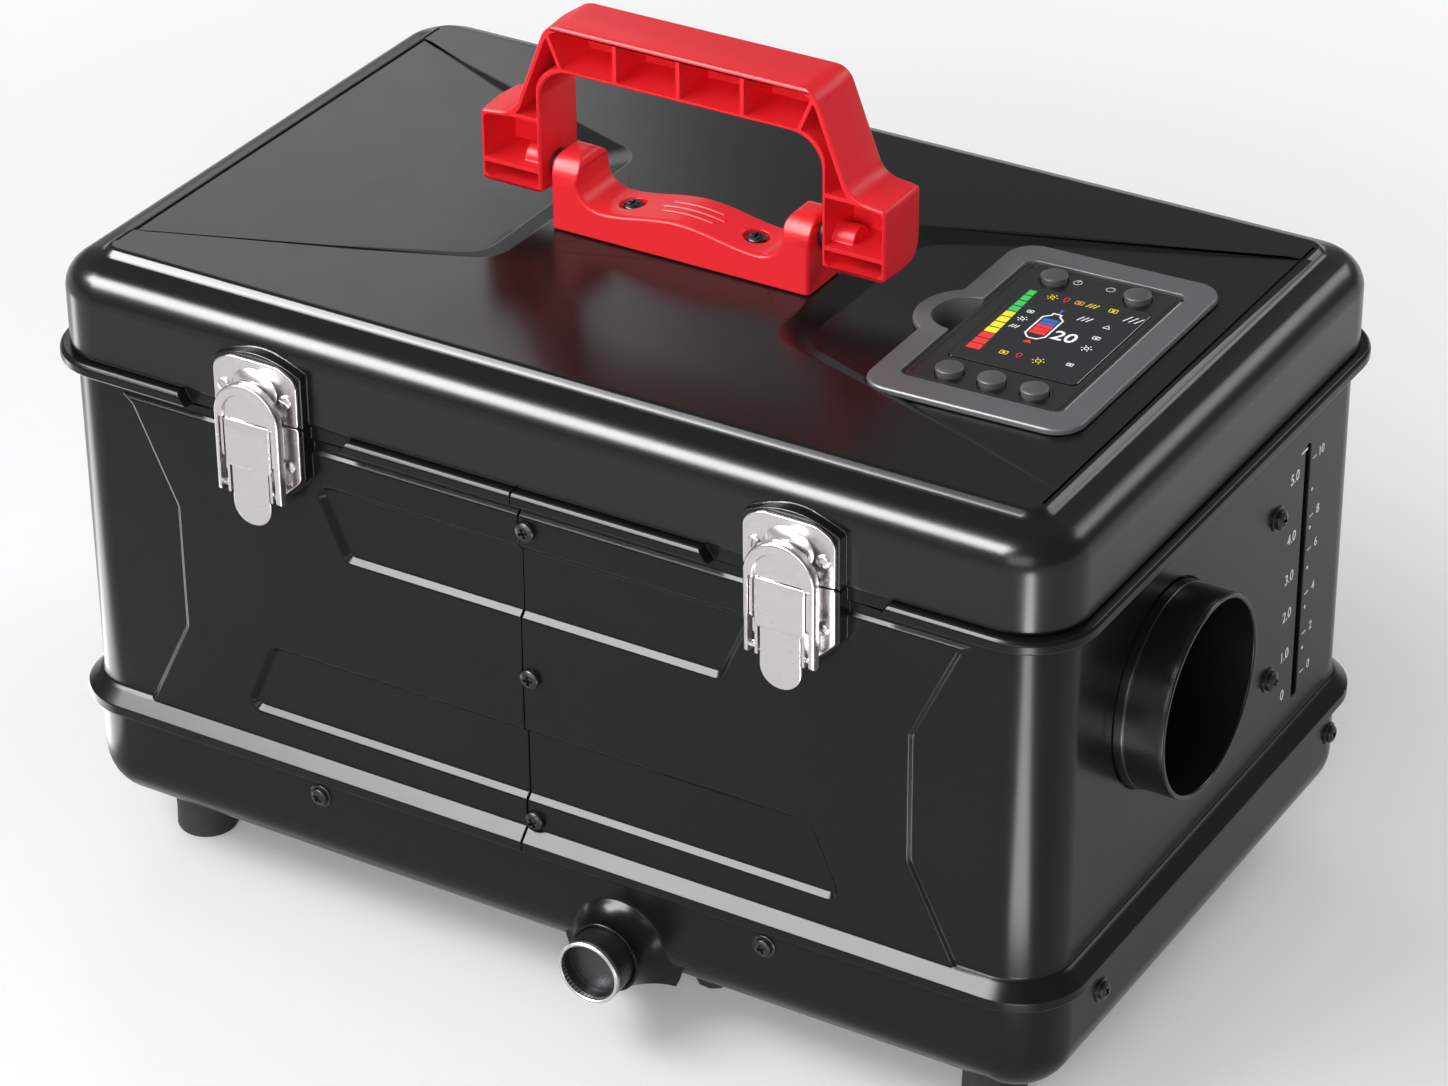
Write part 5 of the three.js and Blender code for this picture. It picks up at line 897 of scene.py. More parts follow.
def makeCarryHandle():
    s = handleSizes
    right = handleSide(0)
    split = next(i for i, point in enumerate(right) if abs(point[0]) < 1e-6)
    outerRun, innerRun = right[:split], right[split + 2:]
    mirror = [[(-x, z) for x, z in reversed(run)] for run in (outerRun, innerRun)]
    front, back = s["depths"]
    outline = outerRun + mirror[0] + mirror[1] + innerRun
    handle = steppedPrism(outline, "y", [(front, 1.5), (front + 0.3, 1.0), (front + 0.9, 0.72), (2.3, 0),
                                         (back - 1.5, 0.8), (back - 0.5, 1.2), (back, 1.9)])
    low = pivotZ - s["footDrop"]
    side = roundCorners([(front, low), (back, low), (back, gripTop), (front, gripTop)], [2.5, back - 3, 3, 3],
                        16)
    keep(handle, prism(side, "x", -s["foot"][1] - 1, s["foot"][1] + 1))
    pockets = handlePockets()
    twin = copyOf(pockets)
    twin.data.transform(Matrix.Scale(-1, 4, (1, 0, 0)))
    twin.data.flip_normals()
    cut(handle, pockets, twin)
    for end in (-1, 1):
        pin = sorted([end * (s["foot"][0] - 1), end * (s["foot"][0] + 9)])
        cut(handle, rod("x", s["pinRadius"] + fitGap, *pin, 0, pivotZ, 32))
    softenEdges(handle, 0.45, 2, angle=34)
    handle.data.transform(handleShift)
    finishPiece(handle, "carryHandleMoulding", finishes["handle_red"], "carry_handle")


makeHandleBase()
makeCarryHandle()
print("handle done")

# Control panel: bezel, lift-out controller, lens and buttons
buttonPlaces = {"button_front_left": (-1, -1), "button_front_middle": (0, -1), "button_front_right": (1, -1),
                "button_back_left": (-1, 1), "button_back_right": (1, 1)}


def makeBezel():
    s = panelSizes
    halfX, halfY, corner = s["controller"]
    trayX, trayY = halfX + s["trayGap"], halfY + s["trayGap"]
    low, top = fitGap, fitGap + s["rise"]
    rounded = [(low, 0), (top - 1.0, 0), (top - 0.35, 0.3), (top, 1.0)]
    trayFloor = s["proud"] - s["thick"] - fitGap
    notchX, notchY, notchRadius = s["notch"]
    plate = steppedPrism(boxOutline(*s["bezel"], 14), "z", rounded)
    ear = steppedPrism(ringOutline(notchRadius + s["band"], 96, notchX, notchY), "z", rounded)
    bezel = join(plate, ear,
                 prism(boxOutline(trayX + 2, trayY + 2, corner, 8), "z", trayFloor - 2, top - 0.5),
                 rod("z", notchRadius + 2, -s["well"] - 2, top - 0.5, notchX, notchY, 72))
    cut(bezel, prism(boxOutline(trayX, trayY, corner, 8), "z", trayFloor, 20),
        rod("z", notchRadius, -s["well"], 20, notchX, notchY, 96),
        rod("z", 6.0, trayFloor - 3, trayFloor + 1, 0, halfY - 12, 32))
    softenEdges(bezel, 0.4, 3)
    bezel.data.transform(onPanel)
    finishPiece(bezel, "panelBezel", finishes["bezel_grey"], "control_bezel")


def makeController():
    s = panelSizes
    halfX, halfY, corner = s["controller"]
    top = s["proud"]
    low = top - s["thick"] + 1.8 + fitGap
    lensX, lensY, lensU, lensV = s["lens"]
    outline = boxOutline(halfX, halfY, corner, 8)
    shell = steppedPrism(outline, "z", [(low, 0), (top - 0.9, 0), (top - 0.35, 0.2), (top, 0.7)])
    cut(shell, prism(boxOutline(halfX - 1.8, halfY - 1.8, 2.2, 6), "z", low - 1, top - 2))
    join(shell, *[rod("z", 2.2, top - 5.7, top - 1.5, side * (halfX - 5), 0, 24) for side in (-1, 1)])
    cut(shell, prism(boxOutline(lensX + fitGap, lensY + fitGap, 2, 6, lensU, lensV), "z", top - 1.2, top + 1))
    # a fine raised line runs round the face
    line = prism(boxOutline(halfX - 2.0, halfY - 2.0, 2.6, 6), "z", top - 0.5, top + 0.22)
    cut(line, prism(boxOutline(halfX - 2.5, halfY - 2.5, 2.2, 6), "z", top - 1, top + 1))
    join(shell, line)
    for word, (column, row) in buttonPlaces.items():
        x, y = column * s["pitch"], row * (halfY - s["edge"])
        cut(shell, rod("z", s["button"][0] + fitGap, top - 3, top + 1, x, y, 48))
        radius, crown, board = s["button"][0], top + s["button"][1], top - 6.0
        under = top - 2 - fitGap
        profile = [(0, board + 1.1), (1.6, board + 1.1), (1.6, under - 1), (radius + 1.1, under - 1),
                   (radius + 1.1, under), (radius - 0.25, under), (radius - 0.25, top + 1.2),
                   (radius, top + 1.35), (radius, crown - 1.25), (radius - 0.15, crown - 0.95),
                   (radius - 0.5, crown - 0.7), (radius * 0.72, crown - 0.3), (radius * 0.4, crown - 0.08),
                   (0, crown)]
        knob = lathe(profile, "z", x, y, 48)
        softenEdges(knob, 0)
        knob.data.transform(onPanel)
        finishPiece(knob, word + "_cap", finishes["button_grey"], word)
    softenEdges(shell, 0.12, 2)
    shell.data.transform(onPanel)
    finishPiece(shell, "controllerShell", finishes["controller_black"], "controller_housing")
    lens = steppedPrism(boxOutline(lensX, lensY, 2, 8, lensU, lensV), "z",
                        [(top - 0.9, 0), (top + 0.2, 0), (top + 0.3, 0.12)])
    softenEdges(lens, 0)
    lens.data.transform(onPanel)
    finishPiece(lens, "displayLens", finishes["display_glass"], "display_lens")


makeBezel()
makeController()
print("control panel done")

# What the display shows: a level bar, a tank picture, two digits and plain icons
displaySizes = {"level": panelSizes["proud"] + 0.32, "thick": 0.05, "bar": (-20.5, -20.5, 29.0),
                "barWidths": (5.4, 3.0), "barSteps": ("red",) * 3 + ("yellow",) * 4 + ("green",) * 4,
                "tank": (-3.0, 5.8, 4.3, 10.3), "digits": ("20", 7.0, 1.4, 9.4)}
inkShapes = {ink: [] for ink in inks}


def inkPatch(ink, outline, level=None):
    z = displaySizes["level"] if level is None else level
    inkShapes[ink].append(prism(outline, "z", z, z + displaySizes["thick"]))


def inkRing(ink, outline, width, level=None):
    z = displaySizes["level"] if level is None else level
    thick = displaySizes["thick"]
    inner = drawIn(outline, width)
    walls = ((outline, z), (outline, z + thick), (inner, z + thick), (inner, z))
    rings = [[(u, v, height) for u, v in edge] for edge, height in walls]
    inkShapes[ink].append(stackRings(rings, True))


def iconDrop(ink, u, v, size):
    outline = [(u + size * 0.55 * math.sin(t) * math.sin(t / 2) ** 1.1, v - size * 0.75 * math.cos(t))
               for t in [2 * math.pi * i / 20 for i in range(20)]]
    inkRing(ink, [(p, q) for p, q in outline if abs(p - u) + abs(q - v) > 1e-6], 0.28)


def iconSun(ink, u, v, size):
    inkRing(ink, ringOutline(size * 0.42, 16, u, v), 0.3)
    for i in range(6):
        a = math.pi * i / 3
        cx, cy = u + size * 0.78 * math.cos(a), v + size * 0.78 * math.sin(a)
        inkPatch(ink, boxOutline(0.24, 0.24, 0, 1, cx, cy))


def iconBars(ink, u, v, size):
    for i in range(3):
        lean = 0.5 * size
        x = u + (i - 1) * size * 0.62
        inkPatch(ink, [(x - lean / 2 - 0.2, v - size * 0.6), (x - lean / 2 + 0.25, v - size * 0.6),
                       (x + lean / 2 + 0.25, v + size * 0.6), (x + lean / 2 - 0.2, v + size * 0.6)])


def iconFrame(ink, u, v, size):
    inkRing(ink, boxOutline(size * 0.62, size * 0.5, 0.4, 3, u, v), 0.28)
    inkPatch(ink, boxOutline(size * 0.22, size * 0.16, 0, 1, u, v))


def iconPeak(ink, u, v, size):
    corners = [(u - size * 0.62, v - size * 0.5), (u + size * 0.62, v - size * 0.5), (u, v + size * 0.6)]
    inkRing(ink, roundCorners(corners, 0.3, 3), 0.26)


def flatText(text, size, u, v, level):
    curve = bpy.data.curves.new("letters", "FONT")
    curve.body, curve.size, curve.extrude = text, size, displaySizes["thick"] / 2
    curve.align_x, curve.align_y = "CENTER", "CENTER"
    curve.offset, curve.resolution_u = size * 0.012, 3
    holder = bpy.data.objects.new("letters", curve)
    scene.collection.objects.link(holder)
    mesh = bpy.data.meshes.new_from_object(holder.evaluated_get(bpy.context.evaluated_depsgraph_get()))
    bpy.data.objects.remove(holder)
    mesh.transform(Matrix.Translation((u, v, level + displaySizes["thick"] / 2)))
    made = bpy.data.objects.new("letters", mesh)
    scene.collection.objects.link(made)
    bm = bmesh.new()
    bm.from_mesh(mesh)
    bmesh.ops.remove_doubles(bm, verts=bm.verts, dist=1e-4)
    bm.to_mesh(mesh)
    bm.free()
    return made


def mergeAll(parts, name):
    mesh = bpy.data.meshes.new(name)
    bm = bmesh.new()
    for part in parts:
        bm.from_mesh(part.data)
        bpy.data.objects.remove(part)
    bm.to_mesh(mesh)
    bm.free()
    made = bpy.data.objects.new(name, mesh)
    scene.collection.objects.link(made)
    return made


def makeDisplay():
    s = displaySizes
    left, y0, y1 = s["bar"]
    pitch = (y1 - y0) / len(s["barSteps"])
    for i, ink in enumerate(s["barSteps"]):
        share = i / (len(s["barSteps"]) - 1)
        width = s["barWidths"][0] + (s["barWidths"][1] - s["barWidths"][0]) * share
        low = y0 + i * pitch
        inkPatch(ink, [(left, low), (left + width, low), (left + width - 0.12, low + pitch - 0.75),
                       (left, low + pitch - 0.75)])
    u, v, halfU, halfV = s["tank"]
    rightSide = [(0.45, -1), (1, -0.72), (1, 0.62), (0.45, 0.84), (0.45, 1)]
    tank = [(-0.45, -1)] + rightSide + [(-x, y) for x, y in reversed(rightSide[1:])]
    inkRing("litWhite", [(u + halfU * x, v + halfV * y) for x, y in tank], 0.62)
    for i in range(5):
        ink = "red" if i < 3 else "blue"
        inkPatch(ink, boxOutline(halfU - 1.3, 1.02, 0, 1, u, v - halfV * 0.52 + i * 2.5))
    inkPatch("blue", boxOutline(0.5, 1.3, 0, 1, u + 0.2, v + halfV + 2.2))
    inkPatch("red", roundCorners([(u - 2, v - halfV - 3.4), (u + 1.8, v - halfV - 3.4), (u, v - halfV - 1.2)],
                                 0.3, 2))
    text, tu, tv, size = s["digits"]
    inkShapes["litWhite"].append(flatText(text, size, tu, tv, s["level"]))
    icons = [(iconSun, "yellow", -10.8, 26.8, 2.0), (iconDrop, "red", -5.4, 27.0, 2.1),
             (iconFrame, "amber", -0.2, 27.2, 2.2),
             (iconBars, "yellow", 5.0, 27.2, 2.0), (iconFrame, "yellow", 13.2, 27.2, 2.2),
             (iconFrame, "litWhite", -12.6, 13.4, 1.7), (iconSun, "litWhite", -12.6, 7.2, 1.8),
             (iconBars, "litWhite", -12.6, 1.0, 1.6), (iconFrame, "yellow", -6.6, -18.2, 2.1),
             (iconDrop, "red", -0.9, -18.0, 2.1), (iconSun, "yellow", 7.0, -18.4, 2.3),
             (iconBars, "litWhite", 7.2, 17.0, 2.3),
             (iconPeak, "litWhite", 16.8, 15.2, 2.1), (iconFrame, "litWhite", 17.2, 6.0, 1.9),
             (iconSun, "litWhite", 17.6, -2.4, 2.0), (iconFrame, "litWhite", 18.0, -15.8, 1.7),
             (iconBars, "litWhite", 22.6, 24.2, 3.0)]
    for draw, ink, x, y, size in icons:
        draw(ink, x, y, size * 1.2)
    faceLevel = panelSizes["proud"] + 0.02
    inkRing("white", ringOutline(1.7, 24, 4.7, 42.0), 0.3, faceLevel)
    inkRing("white", ringOutline(1.7, 24, -8.2, 41.5), 0.3, faceLevel)
    inkPatch("white", boxOutline(0.16, 1.2, 0, 1, -8.2, 42.6), faceLevel)
    for ink, shapes in inkShapes.items():
        if not shapes:
            continue
        layer = mergeAll(shapes, "display_" + ink)
        layer.data.transform(onPanel)
        finishPiece(layer, "display_" + ink, inks[ink], body="controller")


makeDisplay()
print("display done")

# Toggle latches: catch on the lid, base, lever and bail on the body
latchSizes = {"plateHalf": 18.0, "plate": 1.4, "catchShoulder": 20.0, "catchCrown": 25.3,
              "baseShoulder": 20.6, "baseToe": 28.5, "pivotOut": 5.8, "leverHalf": 9.8, "sheet": 1.2,
              "leverFoot": 17.0, "tabHalf": 8.2, "tabDrop": 40.4, "ear": 1.2, "earGap": 0.6, "pin": 1.2,
              "bailHalf": 14.0, "bailBand": 2.1, "bailDepth": 3.6, "bailTail": 2.3, "bailDrop": 26.2,
              "rivetX": 13.4, "rivetRise": 11.4, "rivetDrop": 15.2, "rivetBore": 1.7, "catchLow": 1.6}
plateFront = -halfDepth - fitGap - latchSizes["plate"]
plateLevels = [(plateFront, 0.5), (plateFront + 0.2, 0.15), (plateFront + 0.5, 0), (-halfDepth - fitGap, 0)]
leverY = -halfDepth - latchSizes["pivotOut"]
leverFront = leverY - 2.8
bailZ = seamZ - latchSizes["bailDrop"]
earInner = latchSizes["leverHalf"] + latchSizes["earGap"]
bailInner = earInner + latchSizes["ear"] + fitGap


def archOutline(outer, tail, centre):
    points = [(-outer, tail), (outer, tail), (outer, centre)]
    points += [(outer * math.cos(math.pi * i / 32), centre + outer * math.sin(math.pi * i / 32))
               for i in range(1, 32)]
    return points + [(-outer, centre)]


def rivetBores(z):
    s = latchSizes
    return [rod("y", s["rivetBore"], plateFront - 1, -halfDepth, side * s["rivetX"], z, 24)
            for side in (-1, 1)]


def makeCatch(x, name):
    s = latchSizes
    back = -halfDepth - fitGap
    half, low, crown = s["plateHalf"], seamZ + s["catchLow"], seamZ + s["catchCrown"]
    shoulder = seamZ + s["catchShoulder"]
    outline = roundCorners([(-half, low), (half, low), (half, shoulder), (11, crown - 1.2),
                            (-11, crown - 1.2), (-half, shoulder)], [1.0, 1.0, 6, 9, 9, 6], 10)
    plate = steppedPrism(outline, "y", plateLevels)
    keep(plate, block(-half, half, -200, 0, low, crown))
    rings = []
    for i in range(12):     # the dome pressed into the plate
        a = math.pi / 2 * i / 12
        rings.append([(10.4 * math.cos(a) * math.cos(2 * math.pi * k / 56), back - 4.2 * math.sin(a),
                       seamZ + 12.6 + 9 * math.cos(a) * math.sin(2 * math.pi * k / 56)) for k in range(56)])
    join(plate, stackRings(rings))
    cut(plate, *rivetBores(seamZ + s["rivetRise"]))
    softenEdges(plate, 0.12, 2)
    plate.data.transform(Matrix.Translation((x, 0, 0)))
    finishPiece(plate, name + "_plate", finishes["bright_nickel"], name)


def makeLatchBase(x, name):
    s = latchSizes
    half = s["plateHalf"]
    outline = roundCorners([(-half, seamZ - s["baseShoulder"]), (-half + 8, seamZ - s["baseToe"]),
                            (half - 8, seamZ - s["baseToe"]), (half, seamZ - s["baseShoulder"]),
                            (half, seamZ + 1.1), (-half, seamZ + 1.1)], [3, 5, 5, 3, 0.8, 0.8], 8)
    plate = steppedPrism(outline, "y", plateLevels)
    earBack, earFront, earTop = plateFront + 0.4, leverY - 2.2, seamZ + 2.4
    ear = roundCorners([(earBack, seamZ - 20), (earFront, seamZ - 14), (earFront, earTop),
                        (plateFront - 0.9, earTop), (plateFront - 0.9, seamZ + 0.6),
                        (earBack, seamZ + 0.6)], [0, 2.5, 2.0, 0.4, 0, 0], 6)
    ears = [sorted([side * earInner, side * (earInner + s["ear"])]) for side in (-1, 1)]
    join(plate, *[prism(ear, "x", *ends) for ends in ears],
         rod("x", s["pin"], -earInner - 0.2, earInner + 0.2, leverY, seamZ, 28))
    cut(plate, *rivetBores(seamZ - s["rivetDrop"]))
    softenEdges(plate, 0.14, 2)
    plate.data.transform(Matrix.Translation((x, 0, 0)))
    finishPiece(plate, name + "_plate", finishes["bright_nickel"], name)


def makeLever(x, name):
    s = latchSizes
    half, sheet, back = s["leverHalf"], s["sheet"], leverFront + s["sheet"]
    top, foot = seamZ + 2, seamZ - s["leverFoot"]
    outline = roundCorners([(-half, foot), (half, foot), (half, top), (-half, top)], 0.9, 4)
    face = steppedPrism(outline, "y",
                        [(leverFront, 0.9), (leverFront + 0.3, 0.3), (leverFront + 0.9, 0), (back, 0)])
    # the upper part of the lever face is bent back a little along a fold
    cut(face, prism([(leverFront - 1, seamZ - 3.4), (leverFront, seamZ - 3.4), (leverFront + 0.75, top + 1),
                     (leverFront - 1, top + 1)], "x", -half - 1, half + 1))
    flangeBack, low = leverY + 2.4, bailZ - 2.4
    flange = roundCorners([(back - 0.4, low), (flangeBack, low), (flangeBack, top), (back - 0.4, top)],
                          [0, 1.5, 1.5, 0], 6)
    tabLow, tabTop = seamZ - s["tabDrop"], foot + 2
    tab = roundCorners([(-s["tabHalf"], tabLow), (s["tabHalf"], tabLow), (s["tabHalf"], tabTop),
                        (-s["tabHalf"], tabTop)], [8.1, 8.1, 0, 0], 14)
    join(face, *[prism(flange, "x", *sorted([side * half, side * (half - sheet)])) for side in (-1, 1)],
         steppedPrism(tab, "y",
                      [(back - 0.05, 0.5), (back + 0.15, 0.15), (back + 0.45, 0), (back + sheet, 0)]),
         block(-half, half, leverFront + 0.3, back + sheet, tabTop - 2, tabTop - 0.6))
    cut(face, *[rod("x", s["pin"] + fitGap, -half - 1, half + 1, leverY, z, 28) for z in (seamZ, bailZ)])
    cut(face, block(-half + sheet, half - sheet, leverY - 1.5, flangeBack + 1, bailZ - 3, top + 1))
    softenEdges(face, 0.16, 2)
    face.data.transform(Matrix.Translation((x, 0, 0)))
    finishPiece(face, name + "_sheet", finishes["bright_nickel"], name)


def makeBail(x, name):
    s = latchSizes
    front = leverFront - 0.3
    back, tail, centre = front + s["bailDepth"], bailZ - s["bailTail"], seamZ + 3.5
    arch = archOutline(s["bailHalf"], tail, centre)
    ring = steppedPrism(arch, "y",
                        [(front, 1.5), (front + 0.25, 0.8), (front + 0.7, 0.3), (front + 1.3, 0), (back, 0)])
    hollow = steppedPrism(archOutline(bailInner, tail - 2, centre), "y",
                          [(front - 1, -1.0), (front, 0), (back + 1, 0)])
    keep(hollow, block(-20, 20, front - 2, back + 2, bailZ - 20, seamZ + 2.5))
    crown = prism(archOutline(s["bailHalf"] - s["bailBand"] - 1, tail - 2, centre), "y",
                  front + s["sheet"] + 0.3, back + 1)
    window = steppedPrism(archOutline(s["bailHalf"] - s["bailBand"] - 2.2, seamZ + 0.5, centre), "y",
                          [(front - 1, -0.9), (front + 0.8, 0), (front + 1.1, 0)])
    cut(ring, hollow, crown, window,
        block(-bailInner, bailInner, front - 1, back + 1, bailZ - 20, seamZ + 2.4))
    near = s["leverHalf"] - s["sheet"] + 0.1
    join(ring, *[rod("x", s["pin"], *sorted([side * near, side * (bailInner + 0.5)]), leverY, bailZ, 28)
                 for side in (-1, 1)])
    softenEdges(ring, 0.16, 2)
    ring.data.transform(Matrix.Translation((x, 0, 0)))
    finishPiece(ring, name + "_loop", finishes["bright_nickel"], name)


for side, word in ((-1, "left"), (1, "right")):
    place = side * bodySizes["latchSpacing"]
    makeCatch(place, "latch_catch_" + word)
    makeLatchBase(place, "latch_base_" + word)
    makeLever(place, "latch_lever_" + word)
    makeBail(place, "latch_bail_" + word)
print("latches done")

# Hot air outlet, exhaust tip with its mesh, air inlet grille
outletSizes = {"radius": 37.5, "wall": 2.0, "reach": 19.0, "flange": 6.5, "innerEnd": 146.0,
               "collarLong": 3.6}
grilleSizes = {"radius": bodySizes["inletBore"], "bars": 6, "bar": 1.8, "rim": 3.5}
screenSizes = {"depth": 6.0, "hole": 0.62, "pitch": 1.75, "border": 1.1}


def makeOutlet():
    s = outletSizes
    r, bore, mouth = s["radius"], s["radius"] - s["wall"], wallX + s["reach"]
    flangeX = wallX - caseSizes["wall"] - fitGap
    root = wallX + s["collarLong"]
    profile = [(bore, s["innerEnd"]), (r, s["innerEnd"]), (r, flangeX - 3), (r + s["flange"], flangeX - 3),
               (r + s["flange"], flangeX), (r, flangeX), (r, wallX - 0.6), (r + 0.6, wallX + 0.4),
               (r + 0.6, root - 0.8), (r + 0.35, root - 0.1), (r, root + 0.2), (r, mouth - 2.2),
               (r - 0.15, mouth - 1.2), (r - 0.15, mouth - 0.5), (r - 0.5, mouth), (bore + 0.5, mouth),
               (bore + 0.1, mouth - 0.5), (bore, mouth - 1.5)]
    tube = lathe(profile, "x", *outletPlace, 120, True)
    softenEdges(tube, 0.15, 2)
    finishPiece(tube, "hotAirTube", finishes["lid_black"], "hot_air_outlet")


def makeExhaust():
    s = panSizes
    radius, wall, mouth = s["exhaustRadius"], s["exhaustWall"], s["mouthY"]
    pipe = pipeAlong(exhaustRoute(), [radius, radius - wall], 48, 8)
    bead = lathe([(radius - wall, mouth), (radius - wall + 0.2, mouth - 0.25), (radius - 0.25, mouth - 0.3),
                  (radius + 0.15, mouth + 0.2), (radius + 0.15, mouth + 1.6), (radius - 0.3, mouth + 2.2),
                  (radius - wall, mouth + 2.2)], "y", s["exhaustX"], s["exhaustZ"], 48, True)
    softenEdges(bead, 0)
    finishPiece(bead, "exhaustRim", finishes["bare_steel"], body="case")
    softenEdges(pipe, 0.12, 2)
    back = mouth + screenSizes["depth"]
    outer, inner = radius - wall + 0.3, radius - wall - screenSizes["border"]
    disc = lathe([(0, back + 0.35), (inner, back + 0.35), (inner, back), (outer, back), (outer, back + 0.6),
                  (0, back + 0.6)], "y", s["exhaustX"], s["exhaustZ"], 48)
    softenEdges(disc, 0)
    both = mergeAll([pipe, disc], "exhaustTube")
    finishPiece(both, "exhaustTube", finishes["exhaust_steel"], "exhaust_pipe")


def makeGrille():
    s = grilleSizes
    r, face = s["radius"], -wallX - fitGap
    outer, inside = r + s["rim"], -wallX + caseSizes["wall"]
    ring = lathe([(r - 3, face - 2.0), (r - 2.6, face - 2.4), (outer - 1.2, face - 2.4),
                  (outer - 0.3, face - 2.0), (outer, face - 1.2), (outer, face), (r - fitGap, face),
                  (r - fitGap, inside), (r - 3, inside)],
                 "x", *outletPlace, 96, True)
    pitch, bars = 2 * r / (s["bars"] + 1), []
    for i in range(1, s["bars"] + 1):
        offset = -r + i * pitch
        reach = math.sqrt((r - 2) ** 2 - offset ** 2)
        y, z = outletPlace[0], outletPlace[1] + offset
        bars.append(block(face - 2, inside - 0.4, y - reach, y + reach, z - s["bar"] / 2, z + s["bar"] / 2))
    y, z = outletPlace
    join(ring, *bars, block(face - 1.8, inside - 0.6, y - 1.2, y + 1.2, z - r + 2, z + r - 2))
    softenEdges(ring, 0.3, 2)
    finishPiece(ring, "inletGrille", finishes["case_black"], "air_inlet_grille")


makeOutlet()
makeExhaust()
makeGrille()
print("outlet, exhaust and grille done")

# Repeated small parts are spread on points by Geometry Nodes
def spreadTree():
    tree = bpy.data.node_groups.new("spreadOnPoints", "GeometryNodeTree")
    wanted = (("Geometry", "NodeSocketGeometry"), ("Part", "NodeSocketObject"), ("Turn", "NodeSocketVector"),
              ("Spin", "NodeSocketFloat"), ("Size", "NodeSocketFloat"), ("Seed", "NodeSocketInt"),
              ("Material", "NodeSocketMaterial"))
    for label, kind in wanted:
        tree.interface.new_socket(name=label, in_out="INPUT", socket_type=kind)
    tree.interface.new_socket(name="Geometry", in_out="OUTPUT", socket_type="NodeSocketGeometry")
    made = {}
    for key, kind in (("given", "NodeGroupInput"), ("result", "NodeGroupOutput"),
                      ("part", "GeometryNodeObjectInfo"),
                      ("spread", "GeometryNodeInstanceOnPoints"), ("random", "FunctionNodeRandomValue"),
                      ("spin", "ShaderNodeCombineXYZ"), ("twist", "GeometryNodeRotateInstances"),
                      ("size", "ShaderNodeCombineXYZ"), ("real", "GeometryNodeRealizeInstances"),
                      ("paint", "GeometryNodeSetMaterial")):
        made[key] = tree.nodes.new(kind)
    made["random"].data_type = "FLOAT"
    values = [socket for socket in made["random"].inputs if socket.type == "VALUE"]
    link = tree.links.new
    given = made["given"].outputs
    link(given["Geometry"], made["spread"].inputs["Points"])
    link(given["Part"], made["part"].inputs["Object"])
    link(made["part"].outputs["Geometry"], made["spread"].inputs["Instance"])
    link(given["Turn"], made["spread"].inputs["Rotation"])
    for axis in "XYZ":
        link(given["Size"], made["size"].inputs[axis])
    link(made["size"].outputs[0], made["spread"].inputs["Scale"])
    link(given["Spin"], values[1])
    link(given["Seed"], made["random"].inputs["Seed"])
    link(next(socket for socket in made["random"].outputs if socket.type == "VALUE"),
         made["spin"].inputs["Z"])
    link(made["spread"].outputs["Instances"], made["twist"].inputs["Instances"])
    link(made["spin"].outputs[0], made["twist"].inputs["Rotation"])
    link(made["twist"].outputs["Instances"], made["real"].inputs["Geometry"])
    link(made["real"].outputs["Geometry"], made["paint"].inputs["Geometry"])
    link(given["Material"], made["paint"].inputs["Material"])
    link(made["paint"].outputs["Geometry"], made["result"].inputs["Geometry"])
    return tree


spreader = spreadTree()


# Copies of one part on a list of places, turned from +Z, with a fixed seed; the result is a plain mesh
def spreadPart(part, places, name, material, turn=(0, 0, 0), spin=0.0, size=1.0, seed=3):
    mesh = bpy.data.meshes.new(name)
    mesh.from_pydata([tuple(place) for place in places], [], [])
    field = bpy.data.objects.new(name, mesh)
    scene.collection.objects.link(field)
    modifier = field.modifiers.new("spread", "NODES")
    modifier.node_group = spreader
    wanted = {"Part": part, "Turn": turn, "Spin": spin, "Size": size, "Seed": seed, "Material": material}
    for item in spreader.interface.items_tree:
        if item.item_type == "SOCKET" and item.in_out == "INPUT" and item.name in wanted:
            modifier[item.identifier] = wanted[item.name]
    made = readyMesh(field)
    bpy.data.objects.remove(part)
    return made


screwSizes = {"shank": 2.0, "cross": 0.55, "slot": 0.5, "panX": 96.0, "panZ": 56.0, "endPanZ": 50.0,
              "endPanY": (-84.0, 108.0), "endY": 50.6, "endZ": (174.0, 105.0)}

# Head radius, head height, length below the head, washer radius
screwKinds = {"seam": (3.8, 2.3, 8, 0.0), "pan": (3.4, 1.9, 2, 4.6), "end": (3.9, 2.5, 2, 5.0),
              "handle": (3.8, 2.2, 16, 0.0)}


# A cross-recess screw standing on z = 0 with its head up
def crossScrew(radius, tall, length, washer):
    profile = [(0, -length), (screwSizes["shank"] * 0.9, -length), (screwSizes["shank"], -length + 0.6),
               (screwSizes["shank"], 0)]
    under = 0.0
    if washer:
        profile += [(washer, 0), (washer, 0.5), (washer - 0.25, 0.7), (radius - 0.2, 0.7)]
        under = 0.7
    profile += [(radius, under + 0.02), (radius, under + tall * 0.45), (radius * 0.93, under + tall * 0.7),
                (radius * 0.74, under + tall * 0.9), (radius * 0.45, under + tall * 0.99), (0, under + tall)]
    screw = lathe(profile, "z", 0, 0, 28)
    half, top = screwSizes["cross"], under + tall
    cutter = join(block(-radius * 0.52, radius * 0.52, -half, half, top - tall * 0.55, top + 1),
                  block(-half, half, -radius * 0.52, radius * 0.52, top - tall * 0.55, top + 1))
    cut(screw, cutter)
    softenEdges(screw, 0)
    return screw


